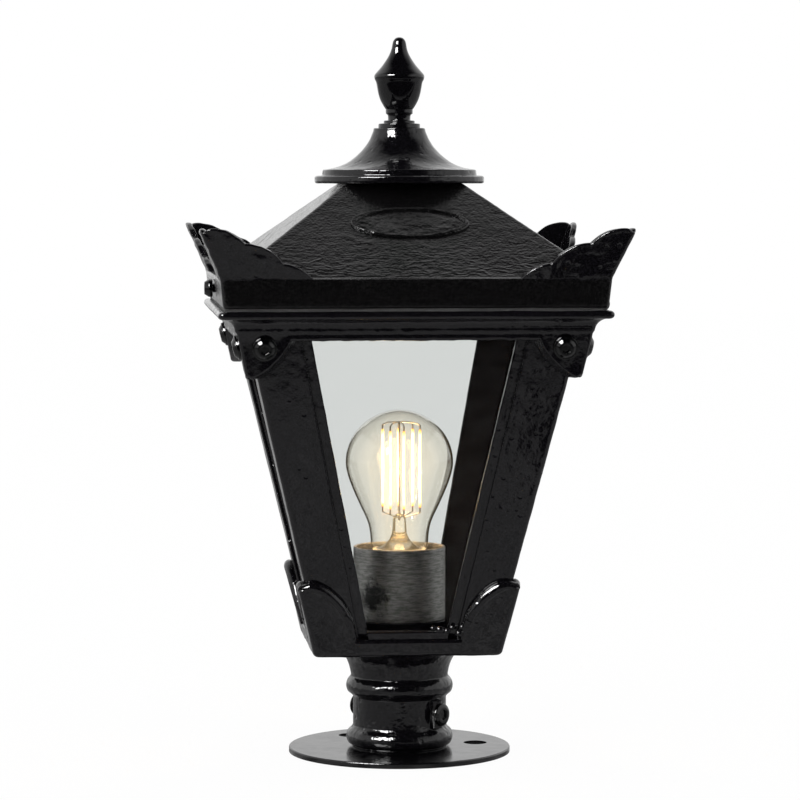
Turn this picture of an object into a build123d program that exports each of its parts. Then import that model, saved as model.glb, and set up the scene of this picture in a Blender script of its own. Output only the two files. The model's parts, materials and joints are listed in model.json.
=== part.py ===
from build123d import *
from math import cos, radians, sin, sqrt
import os

os.makedirs("parts", exist_ok=True)

# A lantern for the top of a short pillar or wall pier. Sizes are in millimetres. The origin is the
# centre of the base plate's underside, +Z is up and the lantern's front looks along -Y.

# fits
running_gap = 0.05          # radial, the hinge pin in its knuckles
loose_gap = 0.3             # between curved faces of pieces that move on each other
seat_gap = 0.1              # between a casting and the piece that it wraps
screw_gap = 0.15            # radial, a screw in its hole

# base plate and spigot
plate_radius = 62.0
plate_thick = 3.0
bolt_circle = 87.0
bolt_count = 3
bolt_hole_radius = 6.5
bolt_turn = 5.0             # angle of the first hole from +X, in degrees
spigot_radius = 21.0
spigot_wall = 3.5
spigot_height = 27.0
grommet_radius = 11.0
grommet_bore = 5.0
grommet_flange = 13.5
grommet_lip = 1.5
grommet_recess = 0.4        # how far the grommet's underside stays above the plate's

# collar casting
collar_height = 57.0
collar_radius = 26.0
bead_radius = 29.8
bead_height = 9.6
neck_radius = 27.2
flare_radius = 39.5
collar_web = 8.0            # thickness of the web under the tray
collar_room = 17.0          # radius of the cable room over the spigot
cable_bore = 8.0
set_screw_height = 20.0     # above the plate's top face
boss_radius = 7.5
boss_reach = 30.6
set_screw_turn = -45.0      # angle of the first set screw from +X, in degrees

# leaning faces of the lantern
side_lean = 0.235           # outward run of a face for each millimetre of height
post_foot = 47.4            # half width over the posts at the level of the tray's underside
lantern_height = 190.7      # tray underside to the head frame's top face
corner_round = 3.0

# tray
tray_wrap = 4.2
tray_floor = 3.5
fascia_low = 9.7
ear_width = 24.0
ear_height = 30.8
ear_fullness = 0.44         # reach of the outline's handles: 0.55 would be a quarter ellipse
sill_height = 13.9

# corner posts
post_thick = 6.0
post_lip = 5.5
post_step = 2.5             # how far the lip is set back from the post's face
post_face_low = 23.0
post_face_high = 28.5

# head frame
lug_wrap = 6.4
lip_height = 4.3
lip_step = 0.3              # flat between the cove and the lip's rounded nose
cove_radius = 6.5
fascia_high = 5.0
lug_width = 20.5
lug_height = 20.9
lug_flat = 4.0
lug_fullness = 0.27
flange_half = 72.0
upstand_half = 91.5
upstand_wall = 3.5
upstand_height = 3.3
lock_tab_height = 12.3
lock_tab_width = 18.0
lock_tab_half = 95.0
lug_screw_in = 13.7         # from the lug's outer edge to the screw
lug_screw_down = 4.2        # below the fascia's lower edge

# panes and their clips
pane_thick = 3.0
pane_lap = 4.0
pane_top_gap = 2.4
clip_length = 24.0
clip_thick = 1.6
clip_leg = 5.0
clip_rise = 5.0

# roof
gasket_thick = 1.5
gasket_width = 3.2
gasket_inset = 1.0
skirt_height = 15.8
skirt_half_low = 102.3
skirt_half_high = 104.0
skirt_wall = 4.5
roof_slope = 0.734          # rise of the roof for each millimetre inward
roof_top_half = 31.9
roof_height = 49.8          # skirt top to the roof's flat top
roof_wall = 6.8             # measured level
roof_top_thick = 4.0
throat_radius = 24.0
crown_lean = 0.434
crown_wall = 3.5
# lobes of a crown: inward from the skirt's corner, and up from the skirt's top edge
crown_foot = (49.0, 0.0)
crown_lobes = [((42.0, 5.5), (32.9, 8.2)), ((23.0, 16.6), (12.3, 18.8)), ((4.7, 24.7), (-6.0, 26.5))]
peg_radius = 1.0
peg_length = 4.0
peg_in = 2.1                # from the skirt's upper edge to the pegs' line
peg_places = (9.0, 34.0)    # inward from the skirt's corner

# oval plate on the front of the roof
oval_length = 64.0
oval_width = 26.5
oval_thick = 1.6
oval_level = 0.57           # share of the slope's height above the skirt

# vent cap, finial and the stud through them
cap_rim_radius = 47.2
cap_rim_height = 4.1
cap_step_radius = 42.7
cap_step_height = 3.5
cap_top_radius = 14.9
cap_height = 30.7
cap_wall = 3.0
cap_seat_radius = 26.0
finial_height = 50.2
finial_radius = 13.9
finial_tip_radius = 4.3
finial_bore_depth = 16.0
stud_radius = 3.0
bridge_length = 56.0
bridge_width = 14.0
bridge_thick = 4.0
nut_radius = 5.8
nut_thick = 5.0
stud_tail = 4.0

# roof hinge on the +X side
hinge_out = 5.3             # hinge axis outside the lip's face
knuckle_radius = 4.2
hinge_pin_radius = 2.0
middle_knuckle = 23.0
outer_knuckle = 14.0
knuckle_gap = 0.4
leaf_let_in = 2.4           # how far a hinge leaf's foot is let into its casting
pin_head_radius = 3.2
pin_head_thick = 2.0

# lock screw on the -X side
lock_height = 7.8           # above the skirt's lower edge
lock_head_radius = 5.0
lock_head_thick = 4.5
lock_shank_radius = 2.5
lock_boss_radius = 6.3
lock_boss_rise = 0.9
lock_tip_gap = 0.6

# lamp pad, cup and holder
pad_radius = 29.0
pad_ear_radius = 6.0
pad_ear_thick = 2.5
pad_height = 11.5
pad_wall = 2.5
pad_screw_out = 33.0
cup_radius = 25.7
cup_wall = 1.6
cup_height = 40.5
nipple_radius = 5.0
holder_radius = 19.5
holder_height = 35.4
holder_floor = 7.4
thread_radius = 14.4
thread_wall = 0.8
thread_height = 23.5
contact_rise = 3.0
terminal_size = (16.0, 9.0, 8.0)
terminal_out = 17.5
tray_screw_circle = 44.0

# bulb
bulb_radius = 30.0
bulb_length = 105.0
bulb_cap_radius = 13.2
bulb_cap_length = 27.0
bulb_tip_radius = 4.8
bulb_tip_rise = 1.2
bulb_neck_radius = 14.4
bulb_wall = 0.9
stem_radius = 3.6
stem_height = 19.0
filament_radius = 0.85
filament_ring = 11.5        # radius of the filaments' circle
filament_turns = (-5.4, 43.9, 87.1, 139.6, 238.8, 277.2)    # hand-set, so not quite even
filament_length = 43.3
filament_clear = 23.3       # bulb cap's top to the filaments' foot
wire_radius = 0.5

# levels and derived sizes
tray_z = plate_thick + collar_height
floor_z = tray_z + tray_floor
fascia_z = tray_z + fascia_low
head_top = tray_z + lantern_height
lip_z = head_top - lip_height
cove_z = lip_z - cove_radius
fascia_foot = cove_z - fascia_high
lug_z = fascia_foot - lug_height
skirt_z = head_top + gasket_thick
skirt_top = skirt_z + skirt_height
roof_top = skirt_top + roof_height
cap_top = roof_top + cap_height
pad_top = floor_z + pad_height
cup_floor = pad_top + cup_wall
bulb_foot = cup_floor + holder_floor + contact_rise
bulb_cap_top = bulb_foot + bulb_cap_length
hinge_z = (head_top + skirt_z) / 2
middle = (Align.CENTER, Align.CENTER, Align.CENTER)
on_foot = (Align.CENTER, Align.CENTER, Align.MIN)
quarter_turns = (0, 90, 180, 270)


def post_half(z):
    """Half width over the posts' outer faces at a height."""
    return post_foot + side_lean * (z - tray_z)


def post_face(z):
    """Width of a post's outer face at a height."""
    share = (z - floor_z) / (lip_z - floor_z)
    return post_face_low + share * (post_face_high - post_face_low)


def opening_half(z):
    """Half width of the glass that shows between two posts."""
    return post_half(z) - post_face(z) - post_lip


def skirt_half(z):
    share = (z - skirt_z) / skirt_height
    return skirt_half_low + share * (skirt_half_high - skirt_half_low)


def roof_half(z):
    return roof_top_half + (roof_top - z) / roof_slope


lip_half = post_half(cove_z) + lug_wrap + cove_radius + lip_step + lip_height / 2
hinge_x = lip_half + hinge_out


def rod(radius, low, high, x=0.0, y=0.0):
    """Upright cylinder between two heights."""
    return Pos(x, y, low) * Cylinder(radius, high - low, align=on_foot)


def block(x0, x1, y0, y1, z0, z1):
    """Box between two corners."""
    centre = ((x0 + x1) / 2, (y0 + y1) / 2, (z0 + z1) / 2)
    return Pos(*centre) * Box(x1 - x0, y1 - y0, z1 - z0, align=middle)


def rod_along(direction, radius, start, length):
    """Cylinder from a point along a direction."""
    return Plane(origin=start, z_dir=direction) * Cylinder(radius, length, align=on_foot)


def square_taper(low_half, high_half, low, high):
    """Square block whose half width changes evenly with height."""
    foot = Plane.XY.offset(low) * Rectangle(2 * low_half, 2 * low_half)
    head = Plane.XY.offset(high) * Rectangle(2 * high_half, 2 * high_half)
    return loft([foot, head], ruled=True)


def turned(*edges):
    """Solid of revolution about Z from edges that close a radius-height outline."""
    outline = Curve() + list(edges)
    return revolve(make_face(Plane.XZ * outline), Axis.Z)


def on_face(z, lift, x, turn):
    """Plane on the front face of a leaning wall, turned to one of the four sides."""
    half = post_half(z) + lift
    face = Plane(origin=(x, -half, z), x_dir=(1, 0, 0), z_dir=(0, -1, -side_lean))
    return Rot(0, 0, turn) * Location(face)


def group(shapes):
    """Separate solids that share one node."""
    return Compound([solid for shape in shapes for solid in shape.solids()])


def four(shape):
    return [Rot(0, 0, turn) * shape for turn in quarter_turns]


def save(shape, name):
    export_step(shape, f"parts/{name}.step")


def side_rail(low, high, outer, inner):
    """Bar between two posts on the front side, from outside the posts' face to inside it."""
    sections = []
    for z in (low, high):
        y_out = -(post_half(z) + outer)
        y_in = -(post_half(z) - inner)
        section = Rectangle(2 * (opening_half(z) - seat_gap), y_in - y_out)
        sections.append(Plane.XY.offset(z) * Pos(0, (y_out + y_in) / 2) * section)
    return loft(sections, ruled=True)


# ---- base ----

def make_base_plate():
    plate = rod(plate_radius, 0, plate_thick)
    plate = fillet(plate.edges().sort_by(Axis.Z)[-1], plate_thick / 4)
    plate -= rod(grommet_radius, -1, plate_thick + 1)
    for index in range(bolt_count):
        turn = radians(bolt_turn + index * 360 / bolt_count)
        x = bolt_circle / 2 * cos(turn)
        y = bolt_circle / 2 * sin(turn)
        plate -= rod(bolt_hole_radius, -1, plate_thick + 1, x, y)
    return plate


def make_spigot():
    top = plate_thick + spigot_height
    tube = rod(spigot_radius, plate_thick, top)
    return tube - rod(spigot_radius - spigot_wall, plate_thick - 1, top + 1)


def make_grommet():
    sleeve = rod(grommet_radius - seat_gap, grommet_recess, plate_thick)
    flange = rod(grommet_flange, plate_thick, plate_thick + grommet_lip)
    return sleeve + flange - rod(grommet_bore, -1, plate_thick + grommet_lip + 1)


# ---- collar ----

def set_screw_seats():
    """Direction and start of each set screw: two, opposite each other."""
    seats = []
    for turn in (set_screw_turn, set_screw_turn + 180):
        direction = Vector(cos(radians(turn)), sin(radians(turn)), 0)
        seats.append(direction)
    return seats


def make_collar():
    foot = plate_thick
    bead_low = foot + 1.0
    bead_top = bead_low + bead_height
    upper_low = foot + 29.2
    upper_top = upper_low + bead_height
    flare_low = upper_top + 1.6
    rim_low = tray_z - 1.0
    sag = flare_radius - neck_radius
    rise = rim_low - flare_low
    flare_mid = (flare_radius - sag * 0.74, flare_low + rise * 0.62)
    body = turned(
        Line((0, foot), (collar_radius + 0.6, foot)),
        Line((collar_radius + 0.6, foot), (collar_radius + 0.6, bead_low)),
        ThreePointArc((collar_radius + 0.6, bead_low), (bead_radius, bead_low + bead_height / 2),
                      (collar_radius, bead_top)),
        Line((collar_radius, bead_top), (collar_radius, upper_low)),
        ThreePointArc((collar_radius, upper_low), (bead_radius, upper_low + bead_height / 2),
                      (neck_radius, upper_top)),
        Line((neck_radius, upper_top), (neck_radius, flare_low)),
        ThreePointArc((neck_radius, flare_low), flare_mid, (flare_radius, rim_low)),
        Line((flare_radius, rim_low), (flare_radius, tray_z)),
        Line((flare_radius, tray_z), (0, tray_z)),
        Line((0, tray_z), (0, foot)),
    )
    screw_z = plate_thick + set_screw_height
    for direction in set_screw_seats():
        start = direction * (spigot_radius + 2) + Vector(0, 0, screw_z)
        body += rod_along(direction, boss_radius, start, boss_reach - spigot_radius - 2)
    shoulder = plate_thick + spigot_height + 1.5
    body -= rod(spigot_radius + loose_gap, foot - 1, shoulder)
    body -= rod(collar_room, foot, tray_z - collar_web)
    body -= rod(cable_bore, foot, tray_z + 1)
    for direction in set_screw_seats():
        start = Vector(0, 0, screw_z)
        body -= rod_along(direction, set_shank_radius + screw_gap, start, boss_reach + 5)
    for x, y in tray_screw_places():
        body -= rod(tray_shank_radius + screw_gap, tray_z - collar_web + 1.5, tray_z + 1, x, y)
    return body


set_shank_radius = 3.4
set_head_radius = 6.4
set_head_thick = 1.6
set_socket_depth = 1.2
tray_shank_radius = 2.4
tray_head_radius = 4.3
tray_head_thick = 3.0


def make_set_screws():
    screws = []
    screw_z = plate_thick + set_screw_height
    for direction in set_screw_seats():
        tip = direction * (spigot_radius + loose_gap) + Vector(0, 0, screw_z)
        seat = direction * boss_reach + Vector(0, 0, screw_z)
        head_end = direction * (boss_reach + set_head_thick - set_socket_depth) + Vector(0, 0, screw_z)
        screw = rod_along(direction, set_shank_radius, tip, boss_reach - spigot_radius - loose_gap)
        screw += rod_along(direction, set_head_radius, seat, set_head_thick)
        socket = extrude(Plane(origin=head_end, z_dir=direction) * RegularPolygon(2.9, 6), 3)
        screws.append(screw - socket)
    return group(screws)


# ---- tray ----

def tray_screw_places():
    places = []
    for turn in (90, 210, 330):
        x = tray_screw_circle / 2 * cos(radians(turn))
        y = tray_screw_circle / 2 * sin(radians(turn))
        places.append((x, y))
    return places


def wrap(low, high, thick):
    """Leaning square block that stands outside the posts' faces."""
    body = square_taper(post_half(low) + thick, post_half(high) + thick, low, high)
    corners = body.edges().filter_by(lambda edge: abs(edge.tangent_at(0.5).Z) > 0.5)
    return fillet(corners, corner_round)


def shoulder(level_end, upright_end, fullness):
    """Curve that leaves one end level and reaches the other end upright."""
    across = upright_end[0] - level_end[0]
    rise = upright_end[1] - level_end[1]
    first = (level_end[0] + fullness * across, level_end[1])
    second = (upright_end[0], upright_end[1] - fullness * rise)
    return Bezier(level_end, first, second, upright_end)


def ear_cutter():
    """Outline between two ears on the front: shoulders that rise to the ears' tops."""
    centre = post_half(fascia_z) + tray_wrap
    ear_top = fascia_z + ear_height
    high = ear_top + 5
    outline = Curve() + [
        shoulder((-centre, ear_top), (ear_width - centre, fascia_z), ear_fullness),
        Polyline((-centre, ear_top), (-centre, high), (centre, high), (centre, ear_top)),
        shoulder((centre, ear_top), (centre - ear_width, fascia_z), ear_fullness),
        Line((centre - ear_width, fascia_z), (ear_width - centre, fascia_z)),
    ]
    return extrude(Plane.XZ * make_face(outline), 100, both=True)


def make_tray():
    ear_top = fascia_z + ear_height
    body = wrap(tray_z, ear_top, tray_wrap)
    room_low = post_half(floor_z) + seat_gap
    room_high = post_half(ear_top + 1) + seat_gap
    body -= square_taper(room_low, room_high, floor_z, ear_top + 1)
    cutter = ear_cutter()
    body -= cutter
    body -= Rot(0, 0, 90) * cutter
    for sill in four(side_rail(floor_z - 1, tray_z + sill_height, tray_wrap / 2, post_thick)):
        body += sill
    body -= rod(cable_bore, tray_z - 1, floor_z + 1)
    for x, y in tray_screw_places():
        body -= rod(tray_shank_radius + screw_gap, tray_z - 1, floor_z + 1, x, y)
    for x, y in pad_screw_places():
        body -= rod(pad_screw_radius + screw_gap, tray_z - 1, floor_z + 1, x, y)
    return body


def make_tray_screws():
    screws = []
    for x, y in tray_screw_places():
        shank = rod(tray_shank_radius, tray_z - collar_web + 2.5, floor_z, x, y)
        screws.append(shank + rod(tray_head_radius, floor_z, floor_z + tray_head_thick, x, y))
    return group(screws)


# ---- posts ----

def post_section(z):
    """Angle section of the back right post: two faces, each with a lip set back for the glass."""
    half = post_half(z)
    face = post_face(z)
    leg = face + post_lip
    outline = [(0, 0), (face, 0), (face, post_step), (leg, post_step), (leg, post_thick),
               (post_thick, post_thick), (post_thick, leg), (post_step, leg), (post_step, face), (0, face)]
    section = Polygon(*[(half - along, half - depth) for along, depth in outline], align=None)
    corner = section.vertices().sort_by(lambda vertex: vertex.X + vertex.Y)[-1]
    return Plane.XY.offset(z) * fillet(corner, corner_round)


def lug_screw_seats():
    """Planes of the eight lug screws: two on each side, on the lugs' outer faces."""
    z = fascia_foot - lug_screw_down
    x = post_half(z) + lug_wrap - lug_screw_in
    return [on_face(z, lug_wrap, side * x, turn) for turn in quarter_turns for side in (-1, 1)]


lug_shank_radius = 2.1
lug_shank_length = 10.8
lug_head_radius = 5.2
lug_head_thick = 2.6


def lug_holes():
    hole = Pos(0, 0, 2) * Cylinder(lug_shank_radius + screw_gap, lug_shank_length + 2.5,
                                   align=(Align.CENTER, Align.CENTER, Align.MAX))
    return [seat * hole for seat in lug_screw_seats()]


def make_posts():
    post = loft([post_section(floor_z), post_section(lip_z)], ruled=True)
    names = ("post_back_right", "post_back_left", "post_front_left", "post_front_right")
    holes = lug_holes()
    for name, turn in zip(names, quarter_turns):
        body = Rot(0, 0, turn) * post
        for hole in holes:
            body -= hole
        save(body, name)


# ---- head frame ----

def lug_cutter():
    """Outline between two lugs on the front: shoulders that hang to the lugs' feet."""
    centre = post_half(lug_z) + lug_wrap - lug_flat
    low = lug_z - 5
    outline = Curve() + [
        shoulder((-centre, lug_z), (lug_width - centre, fascia_foot), lug_fullness),
        Line((lug_width - centre, fascia_foot), (centre - lug_width, fascia_foot)),
        shoulder((centre, lug_z), (centre - lug_width, fascia_foot), lug_fullness),
        Polyline((centre, lug_z), (centre, low), (-centre, low), (-centre, lug_z)),
    ]
    return extrude(Plane.XZ * make_face(outline), 150, both=True)


def moulding():
    """Cove and rounded lip with the inner flange, mitred round the four sides."""
    wall = post_half(cove_z) + lug_wrap
    cove_out = wall + cove_radius
    bow = cove_radius * sqrt(0.5)
    nose = lip_height / 2
    outline = Curve() + [
        ThreePointArc((wall, cove_z), (cove_out - bow, cove_z + bow), (cove_out, lip_z)),
        Line((cove_out, lip_z), (lip_half - nose, lip_z)),
        ThreePointArc((lip_half - nose, lip_z), (lip_half, lip_z + nose), (lip_half - nose, head_top)),
        Polyline((lip_half - nose, head_top), (flange_half, head_top), (flange_half, lip_z),
                 (post_half(lip_z) + seat_gap, lip_z), (post_half(cove_z) + seat_gap, cove_z),
                 (wall, cove_z)),
    ]
    run = lip_half + 5
    bar = extrude(Plane.YZ * make_face(outline), run, both=True)
    wedge = extrude(make_face(Polyline((0, 0), (run, run), (-run, run), close=True)),
                    head_top + 5, dir=(0, 0, 1))
    side = bar & wedge
    body = side
    for turn in (90, 180, 270):
        body += Rot(0, 0, turn) * side
    return body


def leaf(foot, low, high):
    """Foot let into the casting with a knuckle at its outer end, bored for the pin."""
    body = foot + rod_along((0, 1, 0), knuckle_radius, (hinge_x, low, hinge_z), high - low)
    return body - rod_along((0, 1, 0), hinge_pin_radius + running_gap, (hinge_x, low - 1, hinge_z), high - low + 2)


def frame_leaf_spans():
    inner = middle_knuckle / 2 + knuckle_gap
    return ((inner, inner + outer_knuckle), (-inner - outer_knuckle, -inner))


def frame_leaf_foot(low, high):
    return block(lip_half - leaf_let_in, hinge_x, low, high, hinge_z - knuckle_radius, head_top)


def make_frame_leaves():
    return group([leaf(frame_leaf_foot(low, high), low, high) for low, high in frame_leaf_spans()])


def roof_leaf_foot():
    arm = middle_knuckle / 2
    return block(skirt_half_low - leaf_let_in, hinge_x, -arm, arm, skirt_z, hinge_z + knuckle_radius)


def make_roof_leaf():
    return leaf(roof_leaf_foot(), -middle_knuckle / 2, middle_knuckle / 2)


def make_head_frame():
    body = wrap(lug_z, cove_z, lug_wrap)
    room_low = post_half(lug_z - 1) + seat_gap
    room_high = post_half(cove_z + 1) + seat_gap
    body -= square_taper(room_low, room_high, lug_z - 1, cove_z + 1)
    cutter = lug_cutter()
    body -= cutter
    body -= Rot(0, 0, 90) * cutter
    body += moulding()
    for rail in four(side_rail(fascia_foot, lip_z + 1, lug_wrap / 2, post_thick)):
        body += rail
    upstand_in = upstand_half - upstand_wall
    ring = block(-upstand_half, upstand_half, -upstand_half, upstand_half,
                 head_top - 1, head_top + upstand_height)
    ring -= block(-upstand_in, upstand_in, -upstand_in, upstand_in,
                  head_top - 2, head_top + upstand_height + 1)
    body += ring
    tab = lock_tab_width / 2
    body += block(-lock_tab_half, -upstand_in, -tab, tab, head_top - 1, head_top + lock_tab_height)
    for low, high in frame_leaf_spans():
        body -= frame_leaf_foot(low, high)
    for hole in lug_holes():
        body -= hole
    return body


def make_lug_screws():
    dome = turned(
        Line((0, 0), (lug_head_radius, 0)),
        Line((lug_head_radius, 0), (lug_head_radius, 0.5)),
        ThreePointArc((lug_head_radius, 0.5), (lug_head_radius * 0.78, lug_head_thick * 0.78),
                      (lug_head_radius * 0.4, lug_head_thick)),
        Line((lug_head_radius * 0.4, lug_head_thick), (0, lug_head_thick)),
        Line((0, lug_head_thick), (0, 0)),
    )
    shank = Cylinder(lug_shank_radius, lug_shank_length, align=(Align.CENTER, Align.CENTER, Align.MAX))
    socket = Pos(0, 0, lug_head_thick - 1.5) * extrude(RegularPolygon(1.95, 6), 2)
    screw = dome + shank - socket
    return group([seat * screw for seat in lug_screw_seats()])


# ---- glass ----

def make_pane():
    """Front pane: stands on the tray's floor behind the posts' lips."""
    sections = []
    for z in (floor_z, lip_z - pane_top_gap):
        half = opening_half(z) + pane_lap
        y_out = -(post_half(z) - post_thick - seat_gap)
        section = Rectangle(2 * half, pane_thick)
        sections.append(Plane.XY.offset(z) * Pos(0, y_out + pane_thick / 2) * section)
    return loft(sections, ruled=True)


def clip_low():
    """Angle on the tray's floor that keeps a pane's foot against the sill."""
    half = clip_length / 2
    back = -(post_half(floor_z) - post_thick - pane_thick - 3 * seat_gap)
    leg = block(-half, half, back, back + clip_leg, floor_z, floor_z + clip_thick)
    return leg + block(-half, half, back, back + clip_thick, floor_z, floor_z + clip_rise)


def clip_high():
    """Angle under the head frame's flange that keeps a pane's top against the rail."""
    half = clip_length / 2
    back = -(post_half(lip_z - pane_top_gap - clip_rise) - post_thick - pane_thick - 3 * seat_gap)
    drop = lip_z - pane_top_gap - clip_rise
    leg = block(-half, half, back, back + clip_leg, lip_z - clip_thick, lip_z)
    return leg + block(-half, half, back, back + clip_thick, drop, lip_z)


# ---- lamp pad, cup and holder ----

pad_screw_radius = 1.9
pad_screw_head = 3.2
pad_screw_head_thick = 2.0
earth_screw_radius = 2.0
earth_place = (-17.0, 3.0)


def pad_screw_places():
    """Two opposite places on the tray's diagonal."""
    reach = pad_screw_out * sqrt(0.5)
    return [(reach, reach), (-reach, -reach)]


def make_pad():
    """Hollow round pad that raises the cup and covers the cable terminals."""
    body = rod(pad_radius, floor_z, pad_top)
    for x, y in pad_screw_places():
        body += rod(pad_ear_radius, floor_z, floor_z + pad_ear_thick, x, y)
    body -= rod(pad_radius - pad_wall, floor_z - 1, pad_top - pad_wall)
    for x, y in pad_screw_places():
        body -= rod(pad_screw_radius + screw_gap, floor_z - 1, floor_z + pad_ear_thick + 1, x, y)
    return body - rod(nipple_radius + screw_gap, pad_top - pad_wall - 1, pad_top + 1)


def make_pad_screws():
    screws = []
    for x, y in pad_screw_places():
        seat = floor_z + pad_ear_thick
        shank = rod(pad_screw_radius, tray_z + 1, seat, x, y)
        screws.append(shank + rod(pad_screw_head, seat, seat + pad_screw_head_thick, x, y))
    return group(screws)


def make_cup():
    top = pad_top + cup_height
    body = rod(cup_radius, pad_top, top)
    body -= rod(cup_radius - cup_wall, cup_floor, top + 1)
    return body - rod(nipple_radius + screw_gap, pad_top - 1, cup_floor + 1)


def make_nipple():
    """Hollow threaded tube that clamps holder, cup and pad together."""
    low = pad_top - pad_wall - nipple_nut_thick - 1
    high = cup_floor + holder_floor / 2
    return rod(nipple_radius, low, high) - rod(nipple_radius - 1.2, low - 1, high + 1)


nipple_nut_radius = 8.5
nipple_nut_thick = 3.0


def make_nipple_nut():
    top = pad_top - pad_wall
    nut = Pos(0, 0, top - nipple_nut_thick) * extrude(RegularPolygon(nipple_nut_radius, 6), nipple_nut_thick)
    return nut - rod(nipple_radius + screw_gap, top - nipple_nut_thick - 1, top + 1)


def make_holder():
    top = cup_floor + holder_height
    low = cup_floor + holder_floor
    body = rod(holder_radius, cup_floor, top)
    body -= rod(thread_radius + seat_gap, low, top + 1)
    return body - rod(nipple_radius + screw_gap, cup_floor - 1, cup_floor + holder_floor / 2 + 0.5)


def make_thread():
    low = cup_floor + holder_floor
    tube = rod(thread_radius, low, low + thread_height)
    return tube - rod(thread_radius - thread_wall, low - 1, low + thread_height + 1)


def make_contact():
    """Sprung tongue under the bulb's tip."""
    low = cup_floor + holder_floor
    foot = block(-4, 9, -3, 3, low, low + 0.8)
    riser = block(-4, -3.2, -3, 3, low, low + contact_rise)
    tongue = block(-4, 4.5, -3, 3, low + contact_rise - 0.8, low + contact_rise)
    return foot + riser + tongue


def make_terminal_block():
    length, width, height = terminal_size
    body = block(-length / 2, length / 2, -terminal_out - width / 2, -terminal_out + width / 2,
                 floor_z, floor_z + height)
    for x in (-5, 0, 5):
        body -= rod(1.3, floor_z + height - 4, floor_z + height + 1, x, -terminal_out)
    return body


def make_earth_screw():
    x, y = earth_place
    return rod(earth_screw_radius + 2, floor_z, floor_z + 2.5, x, y)


# ---- roof ----

def make_roof():
    skirt = square_taper(skirt_half_low, skirt_half_high, skirt_z, skirt_top)
    corners = skirt.edges().filter_by(lambda edge: abs(edge.tangent_at(0.5).Z) > 0.5)
    body = fillet(corners, corner_round)
    lap = 1.5
    body += square_taper(roof_half(skirt_top - lap), roof_top_half, skirt_top - lap, roof_top)
    join_z = roof_top - (skirt_half_low - skirt_wall + roof_wall - roof_top_half) * roof_slope
    inner_low = skirt_half_low - skirt_wall
    body -= square_taper(inner_low, inner_low, skirt_z - 1, join_z)
    ceiling = roof_top - roof_top_thick
    body -= square_taper(roof_half(join_z) - roof_wall, roof_half(ceiling) - roof_wall, join_z, ceiling)
    body -= rod(throat_radius, ceiling - 1, roof_top + 1)
    lock_z = skirt_z + lock_height
    boss_face = skirt_half(lock_z) + lock_boss_rise
    body += rod_along((1, 0, 0), lock_boss_radius, (-boss_face, 0, lock_z), skirt_wall)
    body -= rod_along((1, 0, 0), lock_shank_radius + screw_gap, (-boss_face - 1, 0, lock_z), 20)
    body -= roof_leaf_foot()
    for turn in quarter_turns:
        body -= crown_pegs(turn, peg_radius + seat_gap, peg_length + 0.5)
    return body


def crown_pegs(turn, radius, length):
    """Pegs under a crown, on the middle of the skirt's top edge."""
    line = skirt_half_high - peg_in
    pegs = []
    for along in peg_places:
        reach = skirt_half_high - along
        pegs.append(rod(radius, skirt_top - length, skirt_top, line, reach))
        pegs.append(rod(radius, skirt_top - length, skirt_top, reach, line))
    body = pegs[0] + pegs[1] + pegs[2] + pegs[3]
    return Rot(0, 0, turn) * body


def crown_outline():
    """Three rising lobes from the foot to the tip, closed along the skirt's top edge."""
    def place(point):
        return (skirt_half_high - point[0], skirt_top + point[1])

    edges = []
    start = crown_foot
    for through, end in crown_lobes:
        edges.append(ThreePointArc(place(start), place(through), place(end)))
        start = end
    out = place((-40.0, start[1]))
    foot = place((-40.0, 0.0))
    edges.append(Polyline(place(start), out, foot, place(crown_foot)))
    return make_face(Curve() + edges)


def make_crown():
    """Back right crown: two scalloped fins that meet at the corner and lean outward."""
    tip = crown_lobes[-1][1][1]
    high = skirt_half_high + crown_lean * tip
    wall = square_taper(skirt_half_high, high, skirt_top, skirt_top + tip)
    corners = wall.edges().filter_by(lambda edge: abs(edge.tangent_at(0.5).Z) > 0.5)
    wall = fillet(corners, 2.0)
    wall -= square_taper(skirt_half_high - crown_wall, high - crown_wall + crown_lean,
                         skirt_top, skirt_top + tip + 1)
    corner = wall & block(20, high + 5, 20, high + 5, skirt_top - 1, skirt_top + tip + 1)
    face = crown_outline()
    along_y = extrude(Plane.XZ * face, high + 20, both=True)
    along_x = extrude(Plane.YZ * face, high + 20, both=True)
    body = corner & along_y & along_x
    return body + crown_pegs(0, peg_radius, peg_length)


def make_oval():
    """Plain oval plate on the roof's front slope, with a raised border."""
    z = skirt_top + oval_level * roof_height
    face = Plane(origin=(0, -roof_half(z), z), x_dir=(1, 0, 0), z_dir=(0, -roof_slope, 1))
    plate = extrude(Ellipse(oval_length / 2, oval_width / 2), oval_thick)
    sunk = extrude(Ellipse(oval_length / 2 - 2.2, oval_width / 2 - 2.2), 1)
    return Location(face) * (plate - Pos(0, 0, oval_thick - 0.6) * sunk)


def make_gasket():
    outer = skirt_half_low - gasket_inset
    inner = outer - gasket_width
    ring = block(-outer, outer, -outer, outer, head_top, skirt_z)
    return ring - block(-inner, inner, -inner, inner, head_top - 1, skirt_z + 1)


# ---- vent cap and finial ----

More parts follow.
